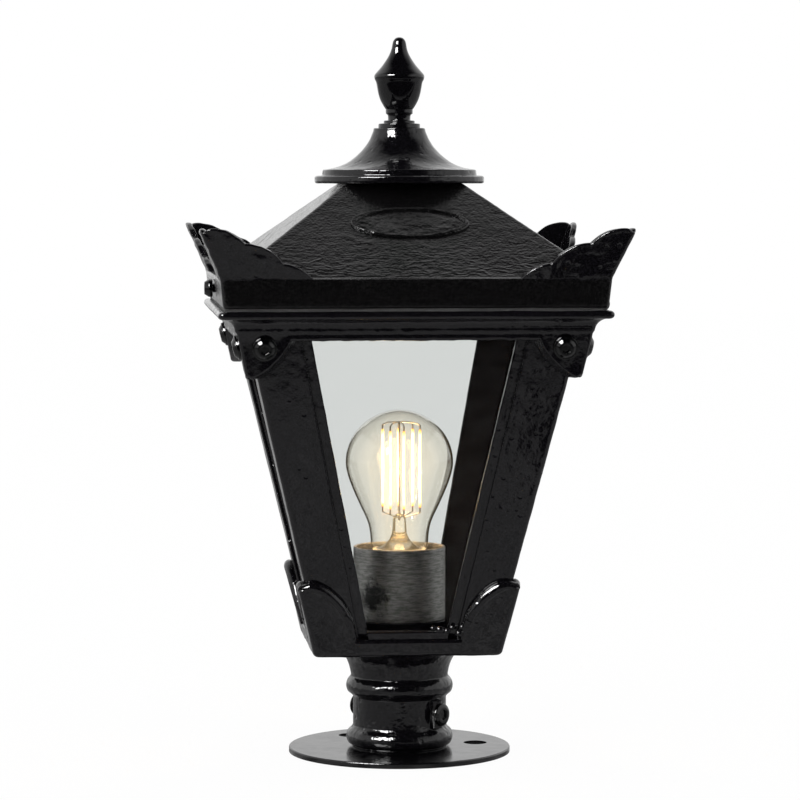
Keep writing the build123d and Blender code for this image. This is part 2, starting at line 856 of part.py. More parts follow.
def make_cap():
    rim_top = roof_top + cap_rim_height
    step_top = rim_top + cap_step_height
    sweep_low = step_top + 0.6
    bell = cap_step_radius - 1.7
    mid = (24.3, cap_top - 15.2)
    body = turned(
        Line((0, roof_top), (cap_rim_radius, roof_top)),
        Line((cap_rim_radius, roof_top), (cap_rim_radius, rim_top)),
        Line((cap_rim_radius, rim_top), (cap_step_radius, rim_top)),
        Line((cap_step_radius, rim_top), (cap_step_radius, step_top)),
        Line((cap_step_radius, step_top), (bell, sweep_low)),
        ThreePointArc((bell, sweep_low), mid, (cap_top_radius, cap_top)),
        Line((cap_top_radius, cap_top), (0, cap_top)),
        Line((0, cap_top), (0, roof_top)),
    )
    ceiling = cap_top - 2 * cap_wall
    body -= turned(
        Line((0, roof_top - 1), (cap_seat_radius, roof_top - 1)),
        Line((cap_seat_radius, roof_top - 1), (cap_seat_radius, rim_top - 1)),
        Line((cap_seat_radius, rim_top - 1), (bell - 6 * cap_wall, sweep_low + 1)),
        Line((bell - 6 * cap_wall, sweep_low + 1), (cap_top_radius - cap_wall, ceiling - 4)),
        Line((cap_top_radius - cap_wall, ceiling - 4), (cap_top_radius - cap_wall, ceiling)),
        Line((cap_top_radius - cap_wall, ceiling), (0, ceiling)),
        Line((0, ceiling), (0, roof_top - 1)),
    )
    return body - rod(stud_radius + screw_gap, ceiling - 1, cap_top + 1)


def make_finial():
    tall = finial_height
    wide = finial_radius

    def dome(rise):
        """Point on the round tip at an angle above its centre."""
        turn = radians(rise)
        return (finial_tip_radius * cos(turn), tall - finial_tip_radius * (1 - sin(turn)))

    body = turned(
        Polyline((0, 0), (0.84 * wide, 0), (0.84 * wide, 0.046 * tall), (0.6 * wide, 0.05 * tall),
                 (0.6 * wide, 0.082 * tall), (0.45 * wide, 0.094 * tall), (0.45 * wide, 0.13 * tall)),
        ThreePointArc((0.45 * wide, 0.13 * tall), (0.57 * wide, 0.165 * tall), (0.55 * wide, 0.2 * tall)),
        ThreePointArc((0.55 * wide, 0.2 * tall), (0.82 * wide, 0.36 * tall), (0.95 * wide, 0.5 * tall)),
        ThreePointArc((0.95 * wide, 0.5 * tall), (wide, 0.552 * tall), (0.94 * wide, 0.604 * tall)),
        ThreePointArc((0.94 * wide, 0.604 * tall), (0.51 * wide, 0.751 * tall), dome(15)),
        ThreePointArc(dome(15), dome(45), (0, tall)),
        Line((0, tall), (0, 0)),
    )
    body -= rod(stud_radius + screw_gap, -1, finial_bore_depth)
    return Pos(0, 0, cap_top) * body


def make_bridge():
    top = roof_top - roof_top_thick
    bar = block(-bridge_length / 2, bridge_length / 2, -bridge_width / 2, bridge_width / 2,
                top - bridge_thick, top)
    return bar - rod(stud_radius + screw_gap, top - bridge_thick - 1, top + 1)


def make_nut():
    top = roof_top - roof_top_thick - bridge_thick
    nut = Pos(0, 0, top - nut_thick) * extrude(RegularPolygon(nut_radius, 6), nut_thick)
    return nut - rod(stud_radius + screw_gap, top - nut_thick - 1, top + 1)


def make_stud():
    low = roof_top - roof_top_thick - bridge_thick - nut_thick - stud_tail
    return rod(stud_radius, low, cap_top + finial_bore_depth - 1)


def make_hinge_pin():
    end = middle_knuckle / 2 + knuckle_gap + outer_knuckle
    pin = rod_along((0, 1, 0), hinge_pin_radius, (hinge_x, -end - 1, hinge_z), 2 * end + 1 + knuckle_gap)
    return pin + rod_along((0, 1, 0), pin_head_radius, (hinge_x, end + knuckle_gap, hinge_z), pin_head_thick)


def make_lock_screw():
    z = skirt_z + lock_height
    face = skirt_half(z) + lock_boss_rise
    tip = lock_tab_half + lock_tip_gap
    shank = rod_along((-1, 0, 0), lock_shank_radius, (-tip, 0, z), face - tip)
    head = rod_along((-1, 0, 0), lock_head_radius, (-face, 0, z), lock_head_thick)
    head = fillet(head.edges().sort_by(Axis.X)[0], 1.6)
    socket_start = (-face - lock_head_thick + 2, 0, z)
    socket = extrude(Plane(origin=socket_start, z_dir=(-1, 0, 0)) * RegularPolygon(2.2, 6), 3)
    return shank + head - socket


# ---- bulb ----

def bulb_profile(shrink):
    """Half outline of the glass: neck, swelling shoulder and round top."""
    radius = bulb_radius - shrink
    centre = bulb_foot + bulb_length - bulb_radius
    low = bulb_cap_top
    neck = bulb_neck_radius - 1.6 - shrink
    shoulder = (bulb_neck_radius + 1.2 - shrink, low + 5.0)
    flank = radians(-25)
    join = (radius * cos(flank), centre + radius * sin(flank))
    top = (0, centre + radius)
    crest = (radius * cos(radians(35)), centre + radius * sin(radians(35)))
    return [
        Line((0, low), (neck, low)),
        Spline((neck, low), shoulder, (bulb_neck_radius + 5.2 - shrink, low + 16), join,
               tangents=((0.6, 1), (-sin(flank), cos(flank)))),
        ThreePointArc(join, crest, top),
        Line(top, (0, low)),
    ]


def make_bulb_glass():
    """Blown envelope, open at the foot where it is set on the cap."""
    outer = turned(*bulb_profile(0))
    inner = turned(*bulb_profile(bulb_wall))
    throat = rod(bulb_neck_radius - 1.6 - 1.1 * bulb_wall, bulb_cap_top - 1, bulb_cap_top + 1)
    return outer - inner - throat


def make_bulb_cap():
    low = bulb_foot + bulb_tip_rise + 1.6
    thread_top = bulb_cap_top - 7
    body = rod(bulb_cap_radius - 1.0, low, bulb_cap_top)
    body += rod(bulb_cap_radius + 0.4, thread_top, bulb_cap_top)
    pitch = 3.6
    count = int((thread_top - low) / pitch)
    for index in range(count):
        z = low + 0.4 + index * pitch
        body += rod(bulb_cap_radius, z + 0.6, z + pitch - 0.9)
    return body


def make_bulb_tip():
    """Black glass ring with the centre contact under it."""
    high = bulb_foot + bulb_tip_rise + 1.6
    return rod(bulb_tip_radius, bulb_foot, high) + rod(bulb_cap_radius - 3.4, bulb_foot + bulb_tip_rise, high)


def make_bulb_stem():
    low = bulb_cap_top
    foot = bulb_neck_radius - 1.6 - 2 * bulb_wall
    return turned(
        Line((0, low), (foot, low)),
        ThreePointArc((foot, low), (stem_radius + 2.2, low + 4.0), (stem_radius, low + 10.0)),
        Line((stem_radius, low + 10.0), (stem_radius, low + stem_height)),
        Line((stem_radius, low + stem_height), (0, low + stem_height)),
        Line((0, low + stem_height), (0, low)),
    )


def filament_places():
    turns = [radians(turn) for turn in filament_turns]
    return [(filament_ring * cos(turn), filament_ring * sin(turn)) for turn in turns]


def make_filaments():
    low = bulb_cap_top + filament_clear
    return group([rod(filament_radius, low, low + filament_length, x, y) for x, y in filament_places()])


def make_filament_frame():
    """Mast on the stem with a spoked ring at each end of the filaments."""
    low = bulb_cap_top + filament_clear
    high = low + filament_length
    ring = filament_ring + filament_radius
    body = rod(wire_radius + 0.3, bulb_cap_top + stem_height, high + 2 * wire_radius)
    for z in (low - 2 * wire_radius, high):
        hoop = rod(ring, z, z + 2 * wire_radius)
        body += hoop - rod(ring - 2 * filament_radius, z - 1, z + 2)
        for turn in (0, 90):
            spoke = block(-ring + 0.5, ring - 0.5, -wire_radius, wire_radius, z, z + 2 * wire_radius)
            body += Rot(0, 0, turn) * spoke
    return body


save(make_base_plate(), "base_plate")
save(make_spigot(), "spigot")
save(make_grommet(), "cable_grommet")
save(make_collar(), "collar")
save(make_set_screws(), "set_screws")
save(make_tray(), "tray")
save(make_tray_screws(), "tray_screws")
make_posts()
save(make_head_frame(), "head_frame")
save(make_frame_leaves(), "frame_hinge_leaves")
save(make_lug_screws(), "lug_screws")
for pane_name, pane_turn in zip(("front", "right", "back", "left"), quarter_turns):
    save(Rot(0, 0, pane_turn) * make_pane(), f"pane_{pane_name}")
save(group(four(clip_low())), "pane_clips_low")
save(group(four(clip_high())), "pane_clips_high")
save(make_pad(), "lamp_pad")
save(make_pad_screws(), "pad_screws")
save(make_cup(), "lamp_cup")
save(make_nipple(), "nipple")
save(make_nipple_nut(), "nipple_nut")
save(make_holder(), "lampholder")
save(make_thread(), "lampholder_thread")
save(make_contact(), "lampholder_contact")
save(make_terminal_block(), "terminal_block")
save(make_earth_screw(), "earth_screw")
save(make_gasket(), "roof_gasket")
save(make_roof(), "roof")
crown = make_crown()
for crown_name, crown_turn in zip(("back_right", "back_left", "front_left", "front_right"), quarter_turns):
    save(Rot(0, 0, crown_turn) * crown, f"crown_{crown_name}")
save(make_oval(), "oval_plate")
save(make_cap(), "vent_cap")
save(make_finial(), "finial")
save(make_bridge(), "roof_bridge")
save(make_nut(), "stud_nut")
save(make_stud(), "finial_stud")
save(make_roof_leaf(), "roof_hinge_leaf")
save(make_hinge_pin(), "hinge_pin")
save(make_lock_screw(), "lock_screw")
save(make_bulb_glass(), "bulb_glass")
save(make_bulb_cap(), "bulb_cap")
save(make_bulb_tip(), "bulb_tip")
save(make_bulb_stem(), "bulb_stem")
save(make_filaments(), "bulb_filaments")
save(make_filament_frame(), "filament_frame")
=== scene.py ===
# A square street lantern on a short collar: finishes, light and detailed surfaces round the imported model.
import json
from math import atan2, ceil, cos, pi, radians, sin, tan
import bpy
import numpy as np
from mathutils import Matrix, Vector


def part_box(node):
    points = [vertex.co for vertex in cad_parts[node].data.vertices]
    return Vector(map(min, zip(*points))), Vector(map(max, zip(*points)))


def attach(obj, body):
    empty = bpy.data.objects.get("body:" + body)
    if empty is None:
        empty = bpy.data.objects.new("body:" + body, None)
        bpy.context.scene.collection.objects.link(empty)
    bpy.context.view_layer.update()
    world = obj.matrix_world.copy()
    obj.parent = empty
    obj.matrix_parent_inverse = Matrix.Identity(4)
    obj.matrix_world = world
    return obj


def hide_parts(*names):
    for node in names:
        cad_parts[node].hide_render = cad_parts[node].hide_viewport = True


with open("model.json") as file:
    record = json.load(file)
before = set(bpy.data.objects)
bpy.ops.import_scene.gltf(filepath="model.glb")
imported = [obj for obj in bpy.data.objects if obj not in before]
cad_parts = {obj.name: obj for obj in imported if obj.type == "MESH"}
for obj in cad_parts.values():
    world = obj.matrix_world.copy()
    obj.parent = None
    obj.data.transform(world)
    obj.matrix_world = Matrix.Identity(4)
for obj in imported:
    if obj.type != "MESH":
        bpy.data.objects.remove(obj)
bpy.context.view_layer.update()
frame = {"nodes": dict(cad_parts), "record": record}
mm = 0.001
print("frame loaded with", len(frame["nodes"]), "nodes")

# camera

camera = {"away": 1894.0, "up": 322.6, "turn": -5.4, "pitch": 3.79, "lens": 153.0, "aside": 0.012}


def addCamera(c):
    data = bpy.data.cameras.new("camera")
    data.lens = c["lens"]
    data.sensor_width = 36.0
    data.clip_end = 50.0
    item = bpy.data.objects.new("camera", data)
    turn = radians(c["turn"])
    item.location = (c["away"] * sin(turn) * mm, -c["away"] * cos(turn) * mm, c["up"] * mm)
    item.rotation_euler = (radians(90 - c["pitch"]), 0, turn - radians(c["aside"]))
    bpy.context.scene.collection.objects.link(item)
    bpy.context.scene.camera = item


addCamera(camera)
bpy.context.scene.view_settings.view_transform = "Standard"

# small helpers for node trees


def newTree(owner):
    owner.use_nodes = True
    owner.node_tree.nodes.clear()
    return owner.node_tree


def addNode(tree, kind, settings=None, **inputs):
    # One node with its settings, and its inputs given as values or as other nodes' outputs.
    node = tree.nodes.new(kind)
    for key, value in (settings or {}).items():
        setattr(node, key, value)
    for key, value in inputs.items():
        numbered = key[0] == "i" and key[1:].isdigit()    # i0, i1 and so on count the sockets, words name them
        socket = node.inputs[int(key[1:]) if numbered else key.replace("_", " ")]
        if isinstance(value, bpy.types.NodeSocket):
            tree.links.new(value, socket)
        else:
            socket.default_value = value
    return node


def mathNode(tree, operation, a, b=0.0):
    return addNode(tree, "ShaderNodeMath", {"operation": operation}, i0=a, i1=b).outputs[0]


def remap(tree, value, low, high, toLow=0.0, toHigh=1.0):
    # Smooth step of a value from one range to another, held at both ends.
    return addNode(tree, "ShaderNodeMapRange", {"interpolation_type": "SMOOTHSTEP"},
                   i0=value, i1=low, i2=high, i3=toLow, i4=toHigh).outputs[0]


def mixColour(tree, factor, a, b):
    node = tree.nodes.new("ShaderNodeMix")
    node.data_type = "RGBA"
    for index, value in ((0, factor), (6, a), (7, b)):
        if isinstance(value, bpy.types.NodeSocket):
            tree.links.new(value, node.inputs[index])
        else:
            node.inputs[index].default_value = value
    return node.outputs[2]


# light: a white surround, dark on the viewer's side, as gloss paint in a white studio shows

studio = {"zenith": 0.8, "zenithFade": (0.45, 0.95), "turnover": (0.0, 0.56), "back": 0.95,
          "side": 0.85, "sideFade": (0.5, 0.85), "front": 0.002, "around": 1.0,
          "table": 0.36, "tableEdge": (0.40, 0.62), "tableBack": (0.2, 0.8), "mottle": (0.6, 1.4),
          "floorHalf": 6.0, "floorGlow": 0.955, "bandAt": 0.365, "bandFade": (0.045, 0.075), "bandLeft": (0.125, 0.10),
          "strip": 45.0, "stripTurn": (-64.0, -28.0), "stripRise": (0.38, 0.72), "stripSoft": (0.05, 0.03),
          "gap": ((-0.24, -0.07), (0.002, 0.007), (0.026, 0.034)), "gapBehind": (0.9, 0.95), "gapDepth": 0.96,
          "gapSoft": 0.02, "keyPower": 1.0, "keySize": 0.34, "bulbPower": 0.35}


def seenPlain(tree, path):
    # 1 for a look straight ahead or through clear glass, 0 once a mirror lies on the way.
    direct = mathNode(tree, "LESS_THAN", path.outputs["Glossy Depth"], 0.5)
    through = mathNode(tree, "MULTIPLY", path.outputs["Is Transmission Ray"], direct)
    return mathNode(tree, "MAXIMUM", path.outputs["Is Camera Ray"], through)


def addWorld(s):
    world = bpy.data.worlds.new("studio")
    bpy.context.scene.world = world
    tree = newTree(world)
    way = addNode(tree, "ShaderNodeTexCoord").outputs["Generated"]
    axes = addNode(tree, "ShaderNodeSeparateXYZ", None, Vector=way)
    x, y, z = axes.outputs
    behind = remap(tree, y, *s["turnover"])
    high = remap(tree, z, *s["zenithFade"], 1.0, s["zenith"])
    back = mathNode(tree, "MULTIPLY", mathNode(tree, "MULTIPLY", behind, high), s["back"])
    sideways = remap(tree, mathNode(tree, "ABSOLUTE", x), *s["sideFade"], 0.0, s["side"])
    sides = mathNode(tree, "MULTIPLY", sideways, high)
    glow = mathNode(tree, "MAXIMUM", mathNode(tree, "MAXIMUM", back, sides), s["front"])
    turn = mathNode(tree, "ARCTAN2", x, mathNode(tree, "MULTIPLY", y, -1.0))
    left, right = (radians(angle) for angle in s["stripTurn"])
    soft, softRise = s["stripSoft"]
    strip = mathNode(tree, "MULTIPLY", remap(tree, turn, left, left + soft), remap(tree, turn, right, right - soft))
    low, top = s["stripRise"]
    level = mathNode(tree, "MULTIPLY", remap(tree, z, low, low + softRise), remap(tree, z, top, top - softRise))
    strip = mathNode(tree, "MULTIPLY", strip, level)
    glow = mathNode(tree, "ADD", glow, mathNode(tree, "MULTIPLY", strip, s["strip"]))
    # a dark gap low in the background, for faces that mirror it almost level
    ends, under, over = s["gap"]
    soft = s["gapSoft"]
    gap = mathNode(tree, "MULTIPLY", remap(tree, x, ends[0], ends[0] + soft), remap(tree, x, ends[1], ends[1] - soft))
    level = mathNode(tree, "MULTIPLY", remap(tree, z, *under), remap(tree, z, *over, 1.0, 0.0))
    gap = mathNode(tree, "MULTIPLY", gap, level)
    gap = mathNode(tree, "MULTIPLY", gap, remap(tree, y, *s["gapBehind"], 0.0, s["gapDepth"]))
    glow = mathNode(tree, "MULTIPLY", glow, mathNode(tree, "SUBTRACT", 1.0, gap))
    path = addNode(tree, "ShaderNodeLightPath")
    glossy = addNode(tree, "ShaderNodeBackground", None, Color=(1, 1, 1, 1), Strength=glow)
    plain = addNode(tree, "ShaderNodeBackground", None, Color=(1, 1, 1, 1), Strength=s["around"])
    white = addNode(tree, "ShaderNodeBackground", None, Color=(1, 1, 1, 1), Strength=1.0)
    seen = seenPlain(tree, path)
    first = addNode(tree, "ShaderNodeMixShader", None, i0=path.outputs["Is Glossy Ray"],
                    i1=plain.outputs[0], i2=glossy.outputs[0])
    last = addNode(tree, "ShaderNodeMixShader", None, i0=seen, i1=first.outputs[0], i2=white.outputs[0])
    addNode(tree, "ShaderNodeOutputWorld", None, Surface=last.outputs[0])


def addFloor(s):
    mesh = bpy.data.meshes.new("floor")
    half = s["floorHalf"]
    mesh.from_pydata([(-half, -half, 0), (half, -half, 0), (half, half, 0), (-half, half, 0)], [], [(0, 1, 2, 3)])
    floor = bpy.data.objects.new("floor", mesh)
    bpy.context.scene.collection.objects.link(floor)
    material = bpy.data.materials.new("paleFloor")
    tree = newTree(material)
    path = addNode(tree, "ShaderNodeLightPath")
    matt = addNode(tree, "ShaderNodeBsdfDiffuse", None, Color=(0.95, 0.95, 0.95, 1))
    white = addNode(tree, "ShaderNodeEmission", None, Color=(1, 1, 1, 1), Strength=1.0)
    place = addNode(tree, "ShaderNodeTexCoord").outputs["Object"]
    flat = addNode(tree, "ShaderNodeSeparateXYZ", None, Vector=place)
    # what gloss sees of the floor: a table that ends in front, with a dark band across its right side
    near = remap(tree, mathNode(tree, "MULTIPLY", flat.outputs[1], -1.0), *s["tableEdge"], 1.0, 0.0)
    off = mathNode(tree, "ABSOLUTE", mathNode(tree, "ADD", flat.outputs[1], s["bandAt"]))
    band = mathNode(tree, "MAXIMUM", remap(tree, off, *s["bandFade"]), remap(tree, flat.outputs[0], *s["bandLeft"]))
    near = mathNode(tree, "MULTIPLY", near, band)
    away = mathNode(tree, "MAXIMUM", near, remap(tree, flat.outputs[1], *s["tableBack"]))
    mottle = addNode(tree, "ShaderNodeTexNoise", None, Vector=place, Scale=55.0, Detail=2.0)
    away = mathNode(tree, "MULTIPLY", away, remap(tree, mottle.outputs[0], 0.38, 0.62, *s["mottle"]))
    away = mathNode(tree, "MULTIPLY", away, s["table"])
    dim = addNode(tree, "ShaderNodeEmission", None, Color=(1, 1, 1, 1), Strength=away)
    seen = mathNode(tree, "MULTIPLY", seenPlain(tree, path), s["floorGlow"])
    first = addNode(tree, "ShaderNodeMixShader", None, i0=path.outputs["Is Glossy Ray"],
                    i1=matt.outputs[0], i2=dim.outputs[0])
    last = addNode(tree, "ShaderNodeMixShader", None, i0=seen, i1=first.outputs[0], i2=white.outputs[0])
    addNode(tree, "ShaderNodeOutputMaterial", None, Surface=last.outputs[0])
    mesh.materials.append(material)


def addLamp(name, kind, power, place, aim=None, colour=(1, 1, 1), **settings):
    data = bpy.data.lights.new(name, kind)
    data.energy = power
    data.color = colour
    for key, value in settings.items():
        setattr(data, key, value)
    item = bpy.data.objects.new(name, data)
    item.location = place
    if aim is not None:
        away = item.location - Vector(aim)
        item.rotation_euler = away.to_track_quat("Z", "Y").to_euler()
    bpy.context.scene.collection.objects.link(item)
    return item


addWorld(studio)
addFloor(studio)
key = addLamp("key", "AREA", studio["keyPower"], (-0.85, -1.05, 1.25), (0, 0, 0.25), size=studio["keySize"])
key.visible_glossy = False    # the surround's own strip is what shows in gloss
bulbGlow = addLamp("bulbGlow", "POINT", studio["bulbPower"], (0.0, 0.0, 0.159), None, (1.0, 0.62, 0.26),
                   shadow_soft_size=0.014)
print("camera, floor and light set")

# numbers worked out as whole arrays


def softStep(x, low, high):
    share = np.clip((x - low) / (high - low), 0, 1)
    return share * share * (3 - 2 * share)


def lattice(points, cell, seed):
    # Smooth relief from -1 to 1: a fixed value at each corner of a cubic lattice, blended by 3t^2 - 2t^3.
    scaled = points / cell
    base = np.floor(scaled).astype(np.int64)
    part = scaled - base
    part = part * part * (3 - 2 * part)
    total = 0.0
    for corner in range(8):
        step = np.array([corner & 1, corner >> 1 & 1, corner >> 2 & 1])
        key = (base + step) @ np.array([73856093, 19349663, 83492791]) + seed * 7919
        key = (key ^ (key >> 13)) * 1274126177
        value = ((key ^ (key >> 16)) & 65535) / 32767.5 - 1
        total = total + value * np.prod(np.where(step, part, 1 - part), axis=-1)
    return total


def castRelief(coarse=0.22, middle=0.1, fine=0.05, seed=3):
    # Sand-cast skin: three sizes of lattice relief added together, in millimetres.
    def relief(p):
        return (coarse * lattice(p, 17.0, seed) + middle * lattice(p, 6.5, seed + 1) + fine * lattice(p, 2.6, seed + 2))
    return relief


def roundedPath(corners, spacing, closed=False):
    # Straight runs between (x, z, radius) corners, each turned by an arc that touches both its runs.
    corners = np.array(corners, float)
    count = len(corners)
    pieces = []
    for index in range(count):
        here, radius = corners[index, :2], corners[index, 2]
        if radius == 0 or (not closed and index in (0, count - 1)):
            pieces.append(here[None])
            continue
        before = corners[index - 1, :2] - here
        after = corners[(index + 1) % count, :2] - here
        before /= np.linalg.norm(before)
        after /= np.linalg.norm(after)
        half = np.arccos(np.clip(before @ after, -1, 1)) / 2
        middle = before + after
        centre = here + middle / np.linalg.norm(middle) * radius / sin(half)
        start, end = here + before * radius / tan(half) - centre, here + after * radius / tan(half) - centre
        first = atan2(start[1], start[0])
        swing = (atan2(end[1], end[0]) - first + pi) % (2 * pi) - pi
        steps = max(3, ceil(abs(swing) * radius / spacing) + 2)
        turns = first + swing * np.linspace(0, 1, steps + 1)
        pieces.append(centre + radius * np.stack([np.cos(turns), np.sin(turns)], -1))
    return joined(pieces, spacing, closed)


def joined(pieces, spacing, closed=False):
    # Pieces of a path end to end, with points along each gap between them.
    path = []
    for index, piece in enumerate(pieces):
        path.append(piece)
        if index == len(pieces) - 1 and not closed:
            break
        start, end = piece[-1], pieces[(index + 1) % len(pieces)][0]
        steps = int(np.linalg.norm(end - start) / spacing)
        path.append(start + (end - start) * (np.arange(1, steps + 1) / (steps + 1))[:, None])
    return np.vstack(path)


def smoothPath(points, steps):
    # Curve through points: cubic pieces whose slope at a point is half the run between its neighbours.
    p = np.array(points, float)
    padded = np.vstack([2 * p[0] - p[1], p, 2 * p[-1] - p[-2]])
    a, b, c, d = padded[:-3], padded[1:-2], padded[2:-1], padded[3:]
    t = (np.arange(steps) / steps)[:, None, None]
    curve = 0.5 * (2 * b + (c - a) * t + (2 * a - 5 * b + 4 * c - d) * t ** 2 + (3 * b - a - 3 * c + d) * t ** 3)
    return np.vstack([curve.transpose(1, 0, 2).reshape(-1, p.shape[1]), p[-1:]])


def arc(centre, radius, first, last, steps):
    # Circular arc in the plane of the profile, from one angle to another in degrees.
    turns = np.radians(np.linspace(first, last, steps + 1))
    return np.array(centre) + radius * np.stack([np.cos(turns), np.sin(turns)], -1)


def evenly(path, spacing):
    # The path with its points moved to equal steps along it.
    run = np.concatenate([[0], np.cumsum(np.linalg.norm(np.diff(path, axis=0), axis=1))])
    places = np.linspace(0, run[-1], max(2, int(run[-1] / spacing)) + 1)
    return np.stack([np.interp(places, run, path[:, axis]) for axis in range(path.shape[1])], -1)


# surfaces


def skin(rings, joinEnds=False, centres=None):
    # Quads between neighbouring closed rings; the end rings are joined or closed by fans to a middle point.
    rows, columns = rings.shape[:2]
    number = np.arange(rows * columns).reshape(rows, columns)
    if joinEnds:
        number = np.vstack([number, number[:1]])
    here, above = number[:-1], number[1:]
    quads = np.stack([here, np.roll(here, -1, 1), np.roll(above, -1, 1), above], -1).reshape(-1, 4)
    fans = np.empty((0, 3), int)
    points = rings.reshape(-1, 3)
    if not joinEnds:
        middles = centres if centres is not None else (rings[0].mean(0), rings[-1].mean(0))
        points = np.vstack([points, middles])
        first, last = number[0], number[-1]
        foot, top = rows * columns, rows * columns + 1
        fans = np.vstack([np.stack([np.roll(first, -1), first, np.full(columns, foot)], -1),
                          np.stack([last, np.roll(last, -1), np.full(columns, top)], -1)])
    volume = sum(np.einsum("ij,ij->i", points[c[:, 0]], np.cross(points[c[:, 1]], points[c[:, 2]])).sum()
                 for c in (quads[:, :3], quads[:, [0, 2, 3]], fans))
    if volume < 0:    # inside out, so every face is turned round
        quads, fans = quads[:, ::-1], fans[:, ::-1]
    return points, quads, fans


def addPiece(name, skins, body, material, replaced=(), relief=None, sharp=50):
    # One mesh from closed skins in millimetres, riding on a body, with its relief moved along the normals.
    points, faces, start = [], [], 0
    for skinPoints, quads, fans in skins:
        points.append(skinPoints)
        faces += (quads + start).tolist() + (fans + start).tolist()
        start += len(skinPoints)
    mesh = bpy.data.meshes.new(name)
    mesh.from_pydata(np.vstack(points) * mm, [], faces)
    mesh.polygons.foreach_set("use_smooth", np.ones(len(mesh.polygons), bool))
    if relief is not None:
        places = np.empty(len(mesh.vertices) * 3)
        normals = np.empty(len(mesh.vertices) * 3)
        mesh.vertices.foreach_get("co", places)
        mesh.vertex_normals.foreach_get("vector", normals)
        places = places.reshape(-1, 3)
        places += normals.reshape(-1, 3) * relief(places / mm)[:, None] * mm
        mesh.vertices.foreach_set("co", places.ravel())
        mesh.update()
    mesh.set_sharp_from_angle(angle=radians(sharp))
    mesh.materials.append(material)
    item = bpy.data.objects.new(name, mesh)
    bpy.context.scene.collection.objects.link(item)
    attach(item, body)
    if replaced:
        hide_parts(*replaced)
    return item


def turnedRings(profile, steps=160, middle=(0.0, 0.0)):
    # Profile (radius, height) carried round an upright axis: x = r cos a, y = r sin a.
    turns = np.arange(steps) * 2 * pi / steps
    r, z = profile[:, :1], profile[:, 1:]
    return np.stack([middle[0] + r * np.cos(turns), middle[1] + r * np.sin(turns), z + 0 * turns], -1)


def placed(rings, origin, outward, up=(0, 0, 1)):
    # Rings made round +Z, turned so that +Z looks along outward, and moved to origin.
    w = np.array(outward, float) / np.linalg.norm(outward)
    u = np.cross(up, w)
    u /= np.linalg.norm(u)
    v = np.cross(w, u)
    return rings[..., :1] * u + rings[..., 1:2] * v + rings[..., 2:] * w + np.array(origin, float)


def tubeRings(path, radius, steps=10):
    # Circle of one radius carried along a path, square to the run between its neighbours.
    path = np.array(path, float)
    along = np.gradient(path, axis=0)
    along /= np.linalg.norm(along, axis=1)[:, None]
    helper = np.where(np.abs(along[:, 2:]) < 0.9, np.array([[0.0, 0.0, 1.0]]), np.array([[1.0, 0.0, 0.0]]))
    side = np.cross(along, helper)
    side /= np.linalg.norm(side, axis=1)[:, None]
    other = np.cross(along, side)
    turns = np.arange(steps) * 2 * pi / steps
    radius = np.broadcast_to(np.array(radius, float), len(path))[:, None, None]
    return path[:, None] + radius * (side[:, None] * np.cos(turns)[:, None] + other[:, None] * np.sin(turns)[:, None])


def quarters(rings):
    # The same rings on all four sides: x' = x c - y s, y' = x s + y c for the four quarter turns.
    x, y, z = rings[..., 0], rings[..., 1], rings[..., 2]
    return [np.stack([x * c - y * s, x * s + y * c, z], -1) for c, s in ((1, 0), (0, 1), (-1, 0), (0, -1))]


def squareSweep(across, half, radius, height, cornerSteps=7):
    # Rounded square: P = (half - radius) c + radius n, with c on the unit square and n its normal. across is c
    # along one face from -1 to 1 for each column; half, radius and height are columns x section.
    turns = np.radians(np.arange(1, cornerSteps) * 90 / cornerSteps)
    pickCorner = np.full(cornerSteps - 1, len(across) - 1)
    columns = np.concatenate([np.arange(len(across)), pickCorner])
    cx = np.concatenate([across, np.ones(cornerSteps - 1)])
    nx = np.concatenate([0 * across, np.sin(turns)])
    ny = np.concatenate([0 * across - 1, -np.cos(turns)])
    half, radius, height = half[columns], np.broadcast_to(radius, half.shape)[columns], height[columns]
    x = (half - radius) * cx[:, None] + radius * nx[:, None]
    y = -(half - radius) + radius * ny[:, None]
    x[len(across):] = (half - radius)[len(across):] + (radius * nx[:, None])[len(across):]
    face = np.stack([x, y, height], -1)
    return np.vstack(quarters(face))


# sizes shared by the leaning castings

body = {"foot": 47.4, "lean": 0.235, "trayFoot": 60.0, "wrap": 4.2, "lug": 6.4, "corner": 3.0,
        "trayFloor": 63.5, "fascia": 69.7, "earTop": 100.5, "earWide": 24.0, "sillTop": 73.9,
        "postLip": 5.5, "postThick": 6.0, "postStep": 2.5, "postLow": 23.0, "postHigh": 28.5,
        "lugFoot": 214.0, "fasciaFoot": 234.9, "coveFoot": 239.9, "lipFoot": 246.4, "headTop": 250.7,
        "skirtFoot": 252.2, "skirtTop": 268.0, "roofTop": 317.8, "roofTopHalf": 31.9, "roofSlope": 0.734}


def postHalf(z):
    # Half width over the posts' outer faces: a straight line in height.
    return body["foot"] + body["lean"] * (z - body["trayFoot"])


def postFace(z):
    # Width of one face of a post: it widens in a straight line from the tray to the lip.
    share = (z - body["trayFloor"]) / (body["lipFoot"] - body["trayFloor"])
    return body["postLow"] + share * (body["postHigh"] - body["postLow"])


def openingHalf(z):
    return postHalf(z) - postFace(z) - body["postLip"]    # half width between the posts' set-back lips


def roofHalf(z):
    return body["roofTopHalf"] + (body["roofTop"] - z) / body["roofSlope"]    # half width of the pyramid


# finishes


